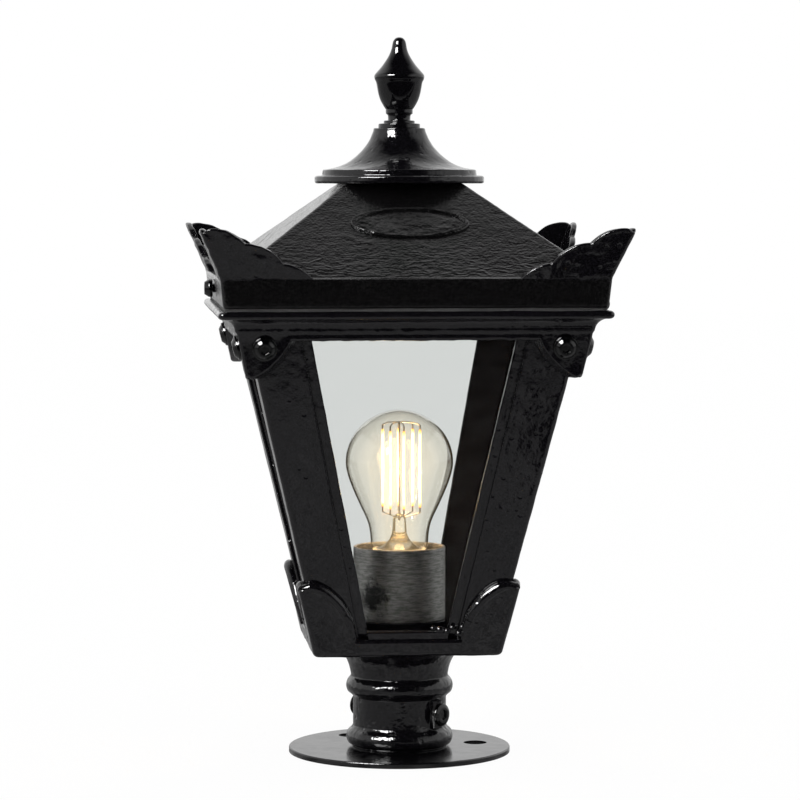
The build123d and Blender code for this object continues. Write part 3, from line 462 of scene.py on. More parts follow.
def makeGrain():
    # Node group: fine sand-cast grain, pits and slow waves under thick paint, as one height and one mask.
    group = bpy.data.node_groups.new("castGrain", "ShaderNodeTree")
    for name, kind, value in (("Vector", "NodeSocketVector", None), ("Grain", "NodeSocketFloat", 1.0),
                              ("Waves", "NodeSocketFloat", 1.0), ("Pits", "NodeSocketFloat", 1.0)):
        socket = group.interface.new_socket(name=name, in_out="INPUT", socket_type=kind)
        if value is not None:
            socket.default_value = value
    group.interface.new_socket(name="Height", in_out="OUTPUT", socket_type="NodeSocketFloat")
    group.interface.new_socket(name="Mask", in_out="OUTPUT", socket_type="NodeSocketFloat")
    inlet = group.nodes.new("NodeGroupInput")
    outlet = group.nodes.new("NodeGroupOutput")
    place = inlet.outputs["Vector"]
    fine = addNode(group, "ShaderNodeTexNoise", None, Vector=place, Scale=430.0, Detail=1.5, Roughness=0.5)
    wave = addNode(group, "ShaderNodeTexNoise", None, Vector=place, Scale=120.0, Detail=1.0, Roughness=0.5)
    pit = addNode(group, "ShaderNodeTexVoronoi", None, Vector=place, Scale=120.0)
    hole = remap(group, pit.outputs["Distance"], 0.08, 0.2, -1.0, 0.0)
    total = mathNode(group, "MULTIPLY", fine.outputs[0], inlet.outputs["Grain"])
    total = mathNode(group, "ADD", total, mathNode(group, "MULTIPLY", wave.outputs[0], inlet.outputs["Waves"]))
    total = mathNode(group, "ADD", total, mathNode(group, "MULTIPLY", hole, inlet.outputs["Pits"]))
    group.links.new(total, outlet.inputs["Height"])
    group.links.new(wave.outputs[0], outlet.inputs["Mask"])
    return group


castGrain = makeGrain()


def blackPaint(name, colour=(0.0022, 0.002, 0.0026), rough=(0.06, 0.14), grain=1.1, waves=3.0, pits=1.6,
               depth=0.0001, flecks=2.8, fineness=1.0, creases=0.0):
    # Gloss black paint: almost black, its gloss and colour varied a little by slow noise. creases adds flat
    # ridges near the roof's foot, where noise squeezed in height crosses its middle value.
    material = bpy.data.materials.new(name)
    tree = newTree(material)
    place = addNode(tree, "ShaderNodeTexCoord").outputs["Object"]
    pulled = addNode(tree, "ShaderNodeMapping", None, Vector=place, Scale=(fineness, fineness, fineness))
    cast = addNode(tree, "ShaderNodeGroup", {"node_tree": castGrain}, Vector=pulled.outputs[0],
                   Grain=grain, Waves=waves, Pits=pits)
    fleck = addNode(tree, "ShaderNodeTexNoise", None, Vector=place, Scale=950.0, Detail=2.0, Roughness=0.6)
    tone = mixColour(tree, remap(tree, fleck.outputs[0], 0.42, 0.68),
                     (*colour, 1), tuple(c * flecks for c in colour) + (1,))
    gloss = remap(tree, cast.outputs["Mask"], 0.3, 0.75, rough[0], rough[1])
    height = cast.outputs["Height"]
    if creases:
        flat = addNode(tree, "ShaderNodeMapping", None, Vector=place, Scale=(120, 120, 460))
        crease = addNode(tree, "ShaderNodeTexNoise", None, Vector=flat.outputs[0],
                         Scale=1.0, Detail=1.0, Roughness=0.5)
        level = addNode(tree, "ShaderNodeSeparateXYZ", None, Vector=place).outputs[2]
        above, below = remap(tree, level, 0.2685, 0.2695), remap(tree, level, 0.270, 0.294, 1.0, 0.12)
        patch = mathNode(tree, "MULTIPLY", below, above)
        ridge = mathNode(tree, "ABSOLUTE", mathNode(tree, "SUBTRACT", crease.outputs[0], 0.5))
        ridge = mathNode(tree, "MULTIPLY", remap(tree, ridge, 0.0, 0.17, creases, 0.0), patch)
        height = mathNode(tree, "ADD", height, ridge)
    bump = addNode(tree, "ShaderNodeBump", None, Strength=1.0, Distance=depth, Height=height)
    shader = addNode(tree, "ShaderNodeBsdfPrincipled", None, Base_Color=tone, Roughness=gloss, Normal=bump.outputs[0])
    addNode(tree, "ShaderNodeOutputMaterial", None, Surface=shader.outputs[0])
    return material


def metal(name, colour, rough, brushed=0.0, stain=0.0, depth=0.00005, scale=400.0, stretch=(1, 1, 1),
          scorch=None):
    # Bare metal with fine scratches stretched one way, darker stains, and one burnt mark (x, y, z, reach).
    material = bpy.data.materials.new(name)
    tree = newTree(material)
    place = addNode(tree, "ShaderNodeTexCoord").outputs["Object"]
    pulled = addNode(tree, "ShaderNodeMapping", None, Vector=place, Scale=stretch)
    scratch = addNode(tree, "ShaderNodeTexNoise", None, Vector=pulled.outputs[0],
                      Scale=scale, Detail=5.0, Roughness=0.7)
    blot = addNode(tree, "ShaderNodeTexNoise", None, Vector=place, Scale=45.0, Detail=4.0, Roughness=0.6)
    dark = remap(tree, blot.outputs[0], 0.5, 0.72, 0.0, stain)
    if scorch is not None:
        *spot, reach = scorch
        off = addNode(tree, "ShaderNodeVectorMath", {"operation": "DISTANCE"}, i0=place, i1=spot).outputs["Value"]
        torn = addNode(tree, "ShaderNodeTexNoise", None, Vector=place, Scale=190.0, Detail=4.0, Roughness=0.7)
        ragged = mathNode(tree, "MULTIPLY", mathNode(tree, "SUBTRACT", torn.outputs[0], 0.5), -0.03)
        near = remap(tree, mathNode(tree, "ADD", off, ragged), reach * 0.2, reach * 1.1, 0.98, 0.0)
        dark = mathNode(tree, "MAXIMUM", dark, near)
    dull, bright = (tuple(min(1, c * share) for c in colour) + (1,) for share in (0.7, 1.8))
    tone = mixColour(tree, remap(tree, scratch.outputs[0], 0.35, 0.65, 0.0, brushed), dull, bright)
    tone = mixColour(tree, dark, tone, tuple(c * 0.04 for c in colour) + (1,))
    gloss = remap(tree, scratch.outputs[0], 0.3, 0.7, rough[0], rough[1])
    bump = addNode(tree, "ShaderNodeBump", None, Strength=0.6, Distance=depth, Height=scratch.outputs[0])
    shader = addNode(tree, "ShaderNodeBsdfPrincipled", None, Base_Color=tone, Roughness=gloss, Metallic=1.0,
                     Normal=bump.outputs[0])
    addNode(tree, "ShaderNodeOutputMaterial", None, Surface=shader.outputs[0])
    return material


def moulded(name, colour, rough=(0.3, 0.5), depth=0.0001, scale=300.0):
    # Moulded plastic or rubber with a faint grain.
    material = bpy.data.materials.new(name)
    tree = newTree(material)
    place = addNode(tree, "ShaderNodeTexCoord").outputs["Object"]
    grain = addNode(tree, "ShaderNodeTexNoise", None, Vector=place, Scale=scale, Detail=3.0)
    tone = mixColour(tree, grain.outputs[0], (*colour, 1), tuple(c * 0.8 for c in colour) + (1,))
    gloss = remap(tree, grain.outputs[0], 0.3, 0.7, rough[0], rough[1])
    bump = addNode(tree, "ShaderNodeBump", None, Strength=0.5, Distance=depth, Height=grain.outputs[0])
    shader = addNode(tree, "ShaderNodeBsdfPrincipled", None, Base_Color=tone, Roughness=gloss, Normal=bump.outputs[0])
    addNode(tree, "ShaderNodeOutputMaterial", None, Surface=shader.outputs[0])
    return material


def clearGlass(name, colour, rough=(0.0, 0.01), waves=0.00002, ior=1.5, paintedGlow=0.0):
    # Clear glass with a slow wave in it, and a painted glow of a given strength: the lit coating's light painted into
    # the glass as emission.
    material = bpy.data.materials.new(name)
    tree = newTree(material)
    place = addNode(tree, "ShaderNodeTexCoord").outputs["Object"]
    wave = addNode(tree, "ShaderNodeTexNoise", None, Vector=place, Scale=25.0, Detail=1.0)
    gloss = remap(tree, wave.outputs[0], 0.3, 0.7, rough[0], rough[1])
    tone = mixColour(tree, wave.outputs[0], (*colour, 1), tuple(min(1, c * 1.01) for c in colour) + (1,))
    bump = addNode(tree, "ShaderNodeBump", None, Strength=0.3, Distance=waves, Height=wave.outputs[0])
    shader = addNode(tree, "ShaderNodeBsdfPrincipled", None, Base_Color=tone, Roughness=gloss, Normal=bump.outputs[0],
                     IOR=ior)
    shader.inputs["Transmission Weight"].default_value = 1.0
    if paintedGlow:    # painted glow: the lit coating's light painted into the glass as emission, fading to its outline
        edge = addNode(tree, "ShaderNodeLayerWeight", None, Blend=0.5).outputs["Facing"]
        glow = mixColour(tree, remap(tree, edge, 0.02, 0.38), (1.0, 0.72, 0.36, 1), (0.0, 0.0, 0.0, 1))
        tree.links.new(glow, shader.inputs["Emission Color"])
        shader.inputs["Emission Strength"].default_value = paintedGlow
    addNode(tree, "ShaderNodeOutputMaterial", None, Surface=shader.outputs[0])
    return material


def glowing(name, pale, deep, strength, foot=(0.1373, 0.1405), head=(0.1806, 0.1772)):
    # Lit coating: paler in its middle and deeper over the heights foot and head, and at its edges.
    material = bpy.data.materials.new(name)
    tree = newTree(material)
    place = addNode(tree, "ShaderNodeTexCoord").outputs["Object"]
    height = addNode(tree, "ShaderNodeSeparateXYZ", None, Vector=place).outputs[2]
    grain = addNode(tree, "ShaderNodeTexNoise", None, Vector=place, Scale=700.0, Detail=2.0)
    middle = mathNode(tree, "MULTIPLY", remap(tree, height, *foot), remap(tree, height, *head))
    middle = mathNode(tree, "MULTIPLY", middle, remap(tree, grain.outputs[0], 0.2, 0.6, 0.7, 1.0))
    edge = addNode(tree, "ShaderNodeLayerWeight", None, Blend=0.35).outputs["Facing"]
    middle = mathNode(tree, "MULTIPLY", middle, remap(tree, edge, 0.35, 0.9, 1.0, 0.35))
    tone = mixColour(tree, middle, (*deep, 1), (*pale, 1))
    shader = addNode(tree, "ShaderNodeBsdfPrincipled", None, Base_Color=tone, Roughness=0.5, Emission_Color=tone)
    shader.inputs["Emission Strength"].default_value = strength
    addNode(tree, "ShaderNodeOutputMaterial", None, Surface=shader.outputs[0])
    return material


castPaint = blackPaint("castBlackPaint")
collarPaint = blackPaint("collarBlackPaint", rough=(0.07, 0.18), grain=2.4, waves=6.0, pits=3.0)
roofPaint = blackPaint("roofBlackPaint", colour=(0.0026, 0.0025, 0.0026), rough=(0.10, 0.2), grain=2.4,
                       waves=1.6, pits=0.6, fineness=1.7, creases=1.7)
smoothPaint = blackPaint("smoothBlackPaint", rough=(0.05, 0.10), grain=0.12, waves=1.5, pits=0.0, flecks=1.5)
platePaint = blackPaint("plateBlackPaint", rough=(0.14, 0.2), grain=0.1, waves=0.3, pits=0.0, flecks=1.5)
screwPaint = blackPaint("screwBlackPaint", colour=(0.001, 0.001, 0.0012), rough=(0.05, 0.12), grain=0.5,
                        waves=1.5, pits=0.3, flecks=1.5)
zincSteel = metal("zincSteel", (0.55, 0.55, 0.56), (0.25, 0.45))
rawMetal = metal("rawMetal", (0.32, 0.315, 0.308), (0.34, 0.6), 0.8, 0.35, 0.00008, 150.0, (1, 1, 7),
                 (-0.0165, -0.0198, 0.0895, 0.0125))
plainBrass = metal("plainBrass", (0.72, 0.56, 0.28), (0.2, 0.4))
platedCap = metal("platedCap", (0.75, 0.74, 0.72), (0.12, 0.25))
softRubber = moulded("softRubber", (0.03, 0.03, 0.03), (0.6, 0.8))
whiteMoulding = moulded("whiteMoulding", (0.85, 0.84, 0.80), (0.1, 0.2))
paleMoulding = moulded("paleMoulding", (0.80, 0.79, 0.74), (0.4, 0.6))
blackInsulator = moulded("blackInsulator", (0.03, 0.03, 0.035), (0.1, 0.2))
paneGlass = clearGlass("paneGlass", (0.82, 0.834, 0.825), ior=1.2)
# the bulb glass carries a faint painted glow standing for its lit filaments' light
bulbClear = clearGlass("bulbClearGlass", (0.998, 0.985, 0.945), waves=0.0, paintedGlow=0.07)
litCoating = glowing("litCoating", (1.0, 0.86, 0.60), (1.0, 0.42, 0.08), 1.9)

slotFinish = {"cast_black_paint": castPaint, "smooth_black_paint": smoothPaint, "black_screws": screwPaint,
              "steel_screws": zincSteel, "raw_metal": rawMetal, "brass": plainBrass, "bulb_cap_metal": platedCap,
              "rubber": softRubber, "holder_moulding": whiteMoulding, "terminal_moulding": paleMoulding,
              "bulb_insulator": blackInsulator, "pane_glass": paneGlass, "bulb_glass": bulbClear,
              "glowing_filament": litCoating}
for part in frame["record"]["subparts"]:
    mesh = frame["nodes"][part["node"]].data
    mesh.materials.clear()
    mesh.materials.append(slotFinish[part["material_slot"]])
frame["nodes"]["base_plate"].data.materials[0] = platePaint
print("finishes made")

# tray: floor and leaning wrap whose top edge rises into four corner ears

ears = {"spacing": 1.3, "reference": 84.0, "power": 1.7, "rim": 3.5, "rimSet": 2.6, "rimIn": 1.0,
        "inner": -41.4, "stretchFrom": 64.5, "tipRun": 3.5, "tipDrop": 1.4,
        # paint drops at the right ear's foot: x, y, z, size and lean of each
        "drops": ((14.0, -50.6, 75.4, 1.7, 0.1), (17.6, -51.4, 74.6, 2.1, -0.3), (21.4, -51.6, 73.9, 1.6, 0.2),
                  (24.4, -50.4, 75.8, 1.5, 0.4), (28.0, -53.0, 72.6, 1.9, -0.2), (29.6, -53.6, 76.4, 1.6, 0.6))}


def cornerCurve(out, up, power, steps=400):
    # Quarter of |x/out|^p + |z/up|^p = 1 from the foot on x to the top on z.
    turn = np.linspace(0, pi / 2, steps)
    return np.stack([out * np.cos(turn) ** (2 / power), up * np.sin(turn) ** (2 / power)], -1)


def faceOutline(sides, spacing):
    # Points (along, height) of one face's outline from its left corner to its right, at equal steps.
    right = evenly(sides, spacing)
    left = right[::-1] * [-1, 1]
    return np.vstack([left[:-1], right]) if abs(right[0, 0]) < 1e-9 else np.vstack([left, right])


def makeTray(e, b):
    # Wall section swept round a square that leans outward: each column's height is stretched up to the ears' line.
    centre = postHalf(b["fascia"]) + b["wrap"]
    ear = cornerCurve(b["earWide"], b["earTop"] - b["fascia"], e["power"]) * [-1, 1] + [centre, b["fascia"]]
    end = postHalf(b["earTop"]) + b["wrap"] - b["corner"]
    outline = np.vstack([[[0.0, b["fascia"]]], ear, [[end, b["earTop"]]]])
    outline = faceOutline(outline, e["spacing"])
    tip = softStep(np.abs(outline[:, 0]), end - e["tipRun"], end)
    top = outline[:, 1] - e["tipDrop"] * tip ** 2
    wall = roundedPath([(e["inner"], b["trayFoot"], 0), (b["wrap"], b["trayFoot"], 2.2),
                        (b["wrap"], e["reference"], 2.6), (0.1, e["reference"], 1.0), (0.1, b["trayFloor"], 0.4),
                        (e["inner"], b["trayFloor"], 0)], e["spacing"])
    share = np.clip((wall[:, 1] - e["stretchFrom"]) / (e["reference"] - 3.0 - e["stretchFrom"]), 0, 1)
    z = wall[:, 1] + (top[:, None] - e["reference"]) * share
    half = postHalf(z) + wall[:, 0]
    radius = np.clip(b["corner"] + wall[:, 0] - b["wrap"], 0.5, None) + 0 * z
    outer = postHalf(top) + b["wrap"]
    across = outline[:, 0] / (outer - b["corner"])
    across /= np.abs(across).max()
    rings = squareSweep(across, half, radius, z)
    return skin(rings.transpose(1, 0, 2))


def earRims(e, b):
    # Fat rounded rim along each ear's curved edge, its middle set back behind the ear's face.
    centre = postHalf(b["fascia"]) + b["wrap"]
    curve = cornerCurve(b["earWide"], b["earTop"] - b["fascia"], e["power"]) * [-1, 1] + [centre, b["fascia"]]
    end = postHalf(b["earTop"]) + b["wrap"] - b["corner"]
    curve = evenly(np.vstack([curve, [[end, b["earTop"] - 1.2]]]), 1.0)
    slope = np.gradient(curve, axis=0)
    slope /= np.linalg.norm(slope, axis=1)[:, None]
    curve = curve + np.stack([slope[:, 1], -slope[:, 0]], -1) * e["rimIn"]
    share = np.linspace(0, 1, len(curve))
    radius = e["rim"] * (0.75 + 0.25 * softStep(share, 0.0, 0.4)) * (1 - 0.25 * softStep(share, 0.8, 1.0))
    made = []
    for side in (-1, 1):
        path = np.stack([side * curve[:, 0], -(postHalf(curve[:, 1]) + b["wrap"] - e["rimSet"]), curve[:, 1]], -1)
        made += [skin(rings) for rings in quarters(tubeRings(path, radius, 18))]
    return made


def makeDrips(drops):
    # Thick drops of paint: a short leaning tube whose radius follows a half circle, so it ends round.
    share = np.sin(np.linspace(-1.5, 1.5, 13))
    made = []
    for x, y, z, size, lean in drops:
        path = np.stack([x + 1.25 * size * share, y + 0 * share, z + lean * size * share], -1)
        made.append(skin(tubeRings(path, size * np.sqrt(1 - share ** 2), 16)))
    return made


def barRings(section, ends, spacing=2.0):
    # Section (depth, height) carried along x; ends gives the half length at each point of the section.
    count = max(2, int(2 * ends.max() / spacing))
    share = np.linspace(-1, 1, count + 1)[:, None]
    return np.stack([share * ends, section[:, 0] + 0 * share, section[:, 1] + 0 * share], -1)


def sideBars(low, high, outer, inner, rounding=1.0):
    # Rail between two posts on each side, leaning as they do.
    corners = ((-outer, low), (inner, low), (inner, high), (-outer, high))
    section = roundedPath([(x, z, rounding) for x, z in corners], 1.3, True)
    z = section[:, 1]
    section = np.stack([-postHalf(z) + section[:, 0], z], -1)
    return [skin(rings) for rings in quarters(barRings(section, openingHalf(z) + 0.6, 1.5))]


traySkins = [makeTray(ears, body)] + earRims(ears, body) + makeDrips(ears["drops"])
traySkins += sideBars(62.5, body["sillTop"], 2.1, 6.0)
addPiece("trayCasting", traySkins, "lantern", castPaint, ["tray"],
         castRelief(0.22, 0.16, 0.07, 11))
print("tray made")

# posts: leaning angle sections with a lip set back for the glass

posts = {"spacing": 1.4, "reference": 25.0, "growFrom": 8, "growOver": 11, "middle": 3}


def makePosts(p, b):
    # Angle section carried up in a straight line; its two legs grow longer as the posts' faces widen.
    face, leg, step, thick = p["reference"], p["reference"] + b["postLip"], b["postStep"], b["postThick"]
    section = roundedPath([(0, 0, b["corner"]), (face, 0, 1.1), (face, step, 0.5), (leg, step, 0.7), (leg, thick, 0.4),
                           (thick, thick, 0.8), (thick, leg, 0.4), (step, leg, 0.7), (step, face, 0.5), (0, face, 1.1)],
                          p["spacing"], True)
    steps = int((b["lipFoot"] - b["trayFloor"]) / p["spacing"])
    z = np.linspace(b["trayFloor"] + 0.2, b["lipFoot"] - 0.2, steps)[:, None]
    grow = postFace(z) - face
    along, depth = (section[:, k] + grow * np.clip((section[:, k] - p["growFrom"]) / (face - p["growOver"]), 0, 1)
                    for k in (0, 1))
    half = postHalf(z)
    rings = np.stack([half - along, half - depth, z + 0 * along], -1)
    centres = np.array([[half[end, 0] - p["middle"], half[end, 0] - p["middle"], z[end, 0]] for end in (0, -1)])
    return [skin(turned, False, middles) for turned, middles in zip(quarters(rings), quarters(centres))]


for name, made in zip(("back_right", "back_left", "front_left", "front_right"), makePosts(posts, body)):
    addPiece("post_" + name + "_casting", [made], "lantern", castPaint, ["post_" + name],
             castRelief(0.16, 0.09, 0.06, 23))
print("posts made")

# head frame: fascia with four hanging lugs, cove, rounded lip and the upstand inside the roof

head = {"spacing": 1.3, "lugWide": 20.5, "lugFlat": 4.0, "power": 1.35, "coveRadius": 6.5, "lipStep": 0.3,
        "upstand": 91.5, "upstandWall": 3.5, "upstandTop": 254.0, "flange": 72.0,
        "footBand": 3.2, "footStretch": 1.4, "tipRun": 2.8, "tipDrop": 1.6}


def makeHead(h, b):
    # Fascia, cove and lip as one section swept round a square; its foot is pulled down to the lugs' curved line.
    centre = postHalf(b["lugFoot"]) + b["lug"] - h["lugFlat"]
    drop = b["fasciaFoot"] - b["lugFoot"]
    lug = cornerCurve(h["lugWide"], drop, h["power"]) * [-1, -1] + [centre, b["fasciaFoot"]]
    end = postHalf(b["lugFoot"]) + b["lug"] - b["corner"]
    outline = faceOutline(np.vstack([[[0.0, b["fasciaFoot"]]], lug, [[end, b["lugFoot"]]]]), h["spacing"])
    bottom = outline[:, 1] + h["tipDrop"] * softStep(np.abs(outline[:, 0]), end - h["tipRun"], end) ** 2
    wall = postHalf(b["coveFoot"]) + b["lug"]
    nose = (b["headTop"] - b["lipFoot"]) / 2
    lipHalf = wall + h["coveRadius"] + h["lipStep"] + nose
    start = b["fasciaFoot"]
    bandTop = start + h["footBand"]
    outerFoot = postHalf(start) + b["lug"]
    innerFoot = postHalf(start) + 0.1
    foot = roundedPath([(innerFoot, bandTop, 0), (innerFoot, start, 1.3), (outerFoot, start, 1.8),
                        (outerFoot, bandTop, 0)], 0.35)
    cove = arc((wall + h["coveRadius"], b["coveFoot"]), h["coveRadius"], 180, 90, 12)
    lip = arc((lipHalf - nose, b["lipFoot"] + nose), nose, -90, 90, 14)
    inside = roundedPath([(lipHalf - nose - 0.5, b["headTop"], 0), (h["upstand"], b["headTop"], 0.3),
                          (h["upstand"], h["upstandTop"], 0.5), (h["upstand"] - h["upstandWall"], h["upstandTop"], 0.5),
                          (h["upstand"] - h["upstandWall"], b["headTop"], 0.3), (h["flange"], b["headTop"], 0.8),
                          (h["flange"], b["lipFoot"], 0.8), (postHalf(b["lipFoot"]) + 0.1, b["lipFoot"], 0)], 1.8)
    section = joined([foot, cove, lip, inside], h["spacing"], True)
    low = section[:, 1] < start + 3.3
    share = np.where(low, np.clip((bandTop - section[:, 1]) / h["footStretch"], 0, 1), 0)
    z = section[:, 1] + (bottom[:, None] - start) * share
    offset = section[:, 0] - postHalf(section[:, 1])
    half = np.where(low, postHalf(z) + offset, section[:, 0])
    radius = np.clip(b["corner"] - (wall - section[:, 0]) * (section[:, 0] < wall), 0.5, 4.0) + 0 * z
    across = outline[:, 0] / (postHalf(bottom) + b["lug"] - b["corner"])
    across /= np.abs(across).max()
    rings = squareSweep(across, half, radius, z)
    return skin(rings.transpose(1, 0, 2), True)


def headRelief(p):
    # Cast skin that is roughest along the fascia under the cove and on the lugs.
    rough = softStep(p[:, 2], 208, 212) * (1 - softStep(p[:, 2], 239, 242))
    return castRelief(0.16, 0.08, 0.03, 31)(p) + rough * (0.24 * lattice(p, 5.0, 37) + 0.2 * lattice(p, 2.9, 38))


def tabSkin():
    # Upright tab behind the lock screw: a rounded bar across the -X side.
    section = roundedPath([(88.2, 249.8, 0.3), (95.0, 249.8, 0.3), (95.0, 263.0, 1.2), (88.2, 263.0, 1.2)],
                          1.2, True)
    rings = barRings(section, np.full(len(section), 9.0), 1.5)
    return skin(np.stack([-rings[..., 1], rings[..., 0], rings[..., 2]], -1))


headSkins = [makeHead(head, body), tabSkin()] + sideBars(body["fasciaFoot"] + 0.2, 247.2, 3.2, 6.0)
addPiece("headCasting", headSkins, "lantern", castPaint, ["head_frame"], headRelief)
print("head frame made")

# roof: hollow pyramid on a flared skirt, rough from the sand

roofSizes = {"spacing": 1.48, "skirtLow": 102.3, "skirtHigh": 104.0, "skirtWall": 4.5, "wall": 6.8,
             "topThick": 4.0, "throat": 25.0}


def roofRelief(p):
    # Cast skin with long wrinkles along the slope's foot: ridges where stretched lattice relief crosses zero.
    z = p[:, 2]
    slope = softStep(z, 267.0, 270.5) * (1 - softStep(z, 314.0, 317.0))
    low = 1 - 0.75 * softStep(z, 272.0, 300.0)
    flat = np.where((np.abs(p[:, 0]) > np.abs(p[:, 1]))[:, None], p[:, [1, 0, 2]], p) * [0.32, 1.0, 1.0]
    ridge = 1 - np.abs(lattice(flat + 0.9 * lattice(p, 9.0, 5)[:, None], 5.5, 41))
    fold = np.clip(ridge - 0.86, 0, None) / 0.14
    patch = softStep(lattice(p * [0.5, 0.5, 1.0], 16.0, 47), -0.1, 0.5)
    fine = 0.07 * lattice(p, 2.2, 43) + 0.05 * lattice(p, 4.6, 44) + 0.14 * lattice(p, 13.0, 45)
    rest = 0.10 * lattice(p, 15.0, 48) + 0.05 * lattice(p, 5.0, 49)
    return slope * (fine + 0.5 * fold * patch * low) + (1 - slope) * rest


def makeRoof(r, b):
    # One closed section, skirt, slope, throat and inner faces, swept round a square with rounded corners.
    foot = roofHalf(b["skirtTop"])
    ceiling = b["roofTop"] - r["topThick"]
    inner = r["skirtLow"] - r["skirtWall"]
    joint = b["roofTop"] - (inner + r["wall"] - b["roofTopHalf"]) * b["roofSlope"]
    section = roundedPath([(inner, b["skirtFoot"], 0.8), (r["skirtLow"], b["skirtFoot"], 1.5),
                           (r["skirtHigh"], b["skirtTop"], 1.0), (foot + 0.4, b["skirtTop"] - 0.1, 5.0),
                           (b["roofTopHalf"], b["roofTop"], 2.0), (r["throat"], b["roofTop"], 0.8),
                           (r["throat"], ceiling, 0.8), (roofHalf(ceiling) - r["wall"], ceiling, 0),
                           (inner, joint, 0)], r["spacing"], True)
    steps = int(2 * r["skirtHigh"] / r["spacing"])
    across = np.linspace(-1, 1, steps + 1)
    half = np.broadcast_to(section[:, 0], (steps + 1, len(section)))
    z = np.broadcast_to(section[:, 1], half.shape)
    radius = np.clip(3.0 - (r["skirtLow"] - section[:, 0]) * 0.12, 1.4, 3.0) + 0 * half
    return skin(squareSweep(across, half, radius, z, 6).transpose(1, 0, 2), True)


addPiece("roofCasting", [makeRoof(roofSizes, body)], "roof", roofPaint, ["roof"], roofRelief)
print("roof made")

# crowns: four scalloped corner fins that lean outward

crowns = {"foot": (49.0, 0.0),
          "lobes": (((42.0, 5.5), (32.9, 8.2)), ((23.0, 16.6), (12.3, 18.8)), ((4.7, 24.7), (-6.0, 26.5))),
          "lean": 0.434, "wall": 3.5, "half": 104.0, "spacing": 1.1, "reference": 280.0, "sunk": 1.6,
          "corner": 2.2, "tipRun": 4.0, "tipDrop": 1.7, "streaks": (2.8, 0.9)}


def threePointArc(a, b, c, steps=40):
    # Circle through three points of the plane, from the first to the last.
    a, b, c = (np.array(point, float) for point in (a, b, c))
    d = 2 * (a[0] * (b[1] - c[1]) + b[0] * (c[1] - a[1]) + c[0] * (a[1] - b[1]))
    ux = (a @ a * (b[1] - c[1]) + b @ b * (c[1] - a[1]) + c @ c * (a[1] - b[1])) / d
    uy = (a @ a * (c[0] - b[0]) + b @ b * (a[0] - c[0]) + c @ c * (b[0] - a[0])) / d
    centre = np.array([ux, uy])
    first, last = (atan2(*(point - centre)[::-1]) for point in (a, c))
    swing = (last - first + pi) % (2 * pi) - pi
    turns = first + swing * np.linspace(0, 1, steps)
    return centre + np.linalg.norm(a - centre) * np.stack([np.cos(turns), np.sin(turns)], -1)


def makeCrown(c, b, cornerSteps=8):
    # Fin section (inward, height) carried along the front face, round the corner and along the right face.
    start, edge = c["foot"], []
    for through, end in c["lobes"]:
        edge.append(threePointArc(start, through, end))
        start = end
    edge = np.vstack(edge)
    tip = c["half"] + c["lean"] * start[1]
    outline = np.stack([c["half"] - edge[:, 0], b["skirtTop"] + edge[:, 1]], -1)
    corner = c["corner"]
    outline = np.vstack([[[c["half"] - c["foot"][0] - 1.5, b["skirtTop"] - 1.0]], outline,
                         [[tip - corner, b["skirtTop"] + start[1]]]])
    outline = evenly(outline, c["spacing"])
    top = outline[:, 1] - c["tipDrop"] * softStep(outline[:, 0], tip - corner - c["tipRun"], tip - corner) ** 2
    foot = b["skirtTop"] - c["sunk"]
    section = roundedPath([(0, foot, 0), (0, c["reference"], 1.5), (c["wall"], c["reference"], 1.3),
                           (c["wall"], foot, 0)], 1.1, True)
    share = np.clip((section[:, 1] - foot) / (c["reference"] - 2.0 - foot), 0, 1)
    z = section[:, 1] + (top[:, None] - c["reference"]) * share
    z = np.maximum(z, foot + 0.02 * section[:, 1] / c["reference"])
    lean = c["lean"] * np.clip(z - b["skirtTop"], 0, None)
    half = c["half"] + lean - 0.25 * (z < b["skirtTop"]) - section[:, 0]
    radius = np.clip(corner - section[:, 0], 0.4, None) + 0 * z
    across = outline[:, 0] / (c["half"] + c["lean"] * np.clip(top - b["skirtTop"], 0, None) - corner)
    across = np.minimum(across, 1.0)
    x = (half - radius) * across[:, None]
    y = -half
    faceA = np.stack([x, y, z], -1)
    turns = np.radians(np.arange(1, cornerSteps) * 90 / cornerSteps)[:, None]
    cornerPart = np.stack([(half - radius)[-1] + radius[-1] * np.sin(turns),
                           -(half - radius)[-1] - radius[-1] * np.cos(turns), z[-1] + 0 * turns], -1)
    faceB = np.stack([half, -x, z], -1)[::-1]
    return np.concatenate([faceA, cornerPart, faceB])


def crownRelief(p):
    # Cast skin with flat streaks: the same lattice squeezed in height, laid along whichever way the face runs.
    streaks = 0.13 * lattice(p * [0.4, 0.4, 1.6], 4.2, 57) + 0.10 * lattice(p * [0.7, 0.7, 1.3], 2.6, 58)
    strength = np.where(p[:, 0] < 0, *crowns["streaks"]) * softStep(p[:, 2], 268.5, 272.0)
    return castRelief(0.14, 0.14, 0.05, 53)(p) + streaks * strength


crownRings = quarters(makeCrown(crowns, body))
for name, rings in zip(("front_right", "back_right", "back_left", "front_left"), crownRings):
    addPiece("crown_" + name + "_fin", [skin(rings)], "roof", castPaint,
             ["crown_" + name], crownRelief)
print("crowns made")

# oval plate: plain raised border round a rough sunk face, on the front slope

oval = {"long": 64.0, "wide": 26.5, "level": 0.57, "border": 2.6, "rise": 1.6, "sunk": 0.4, "steps": 180}


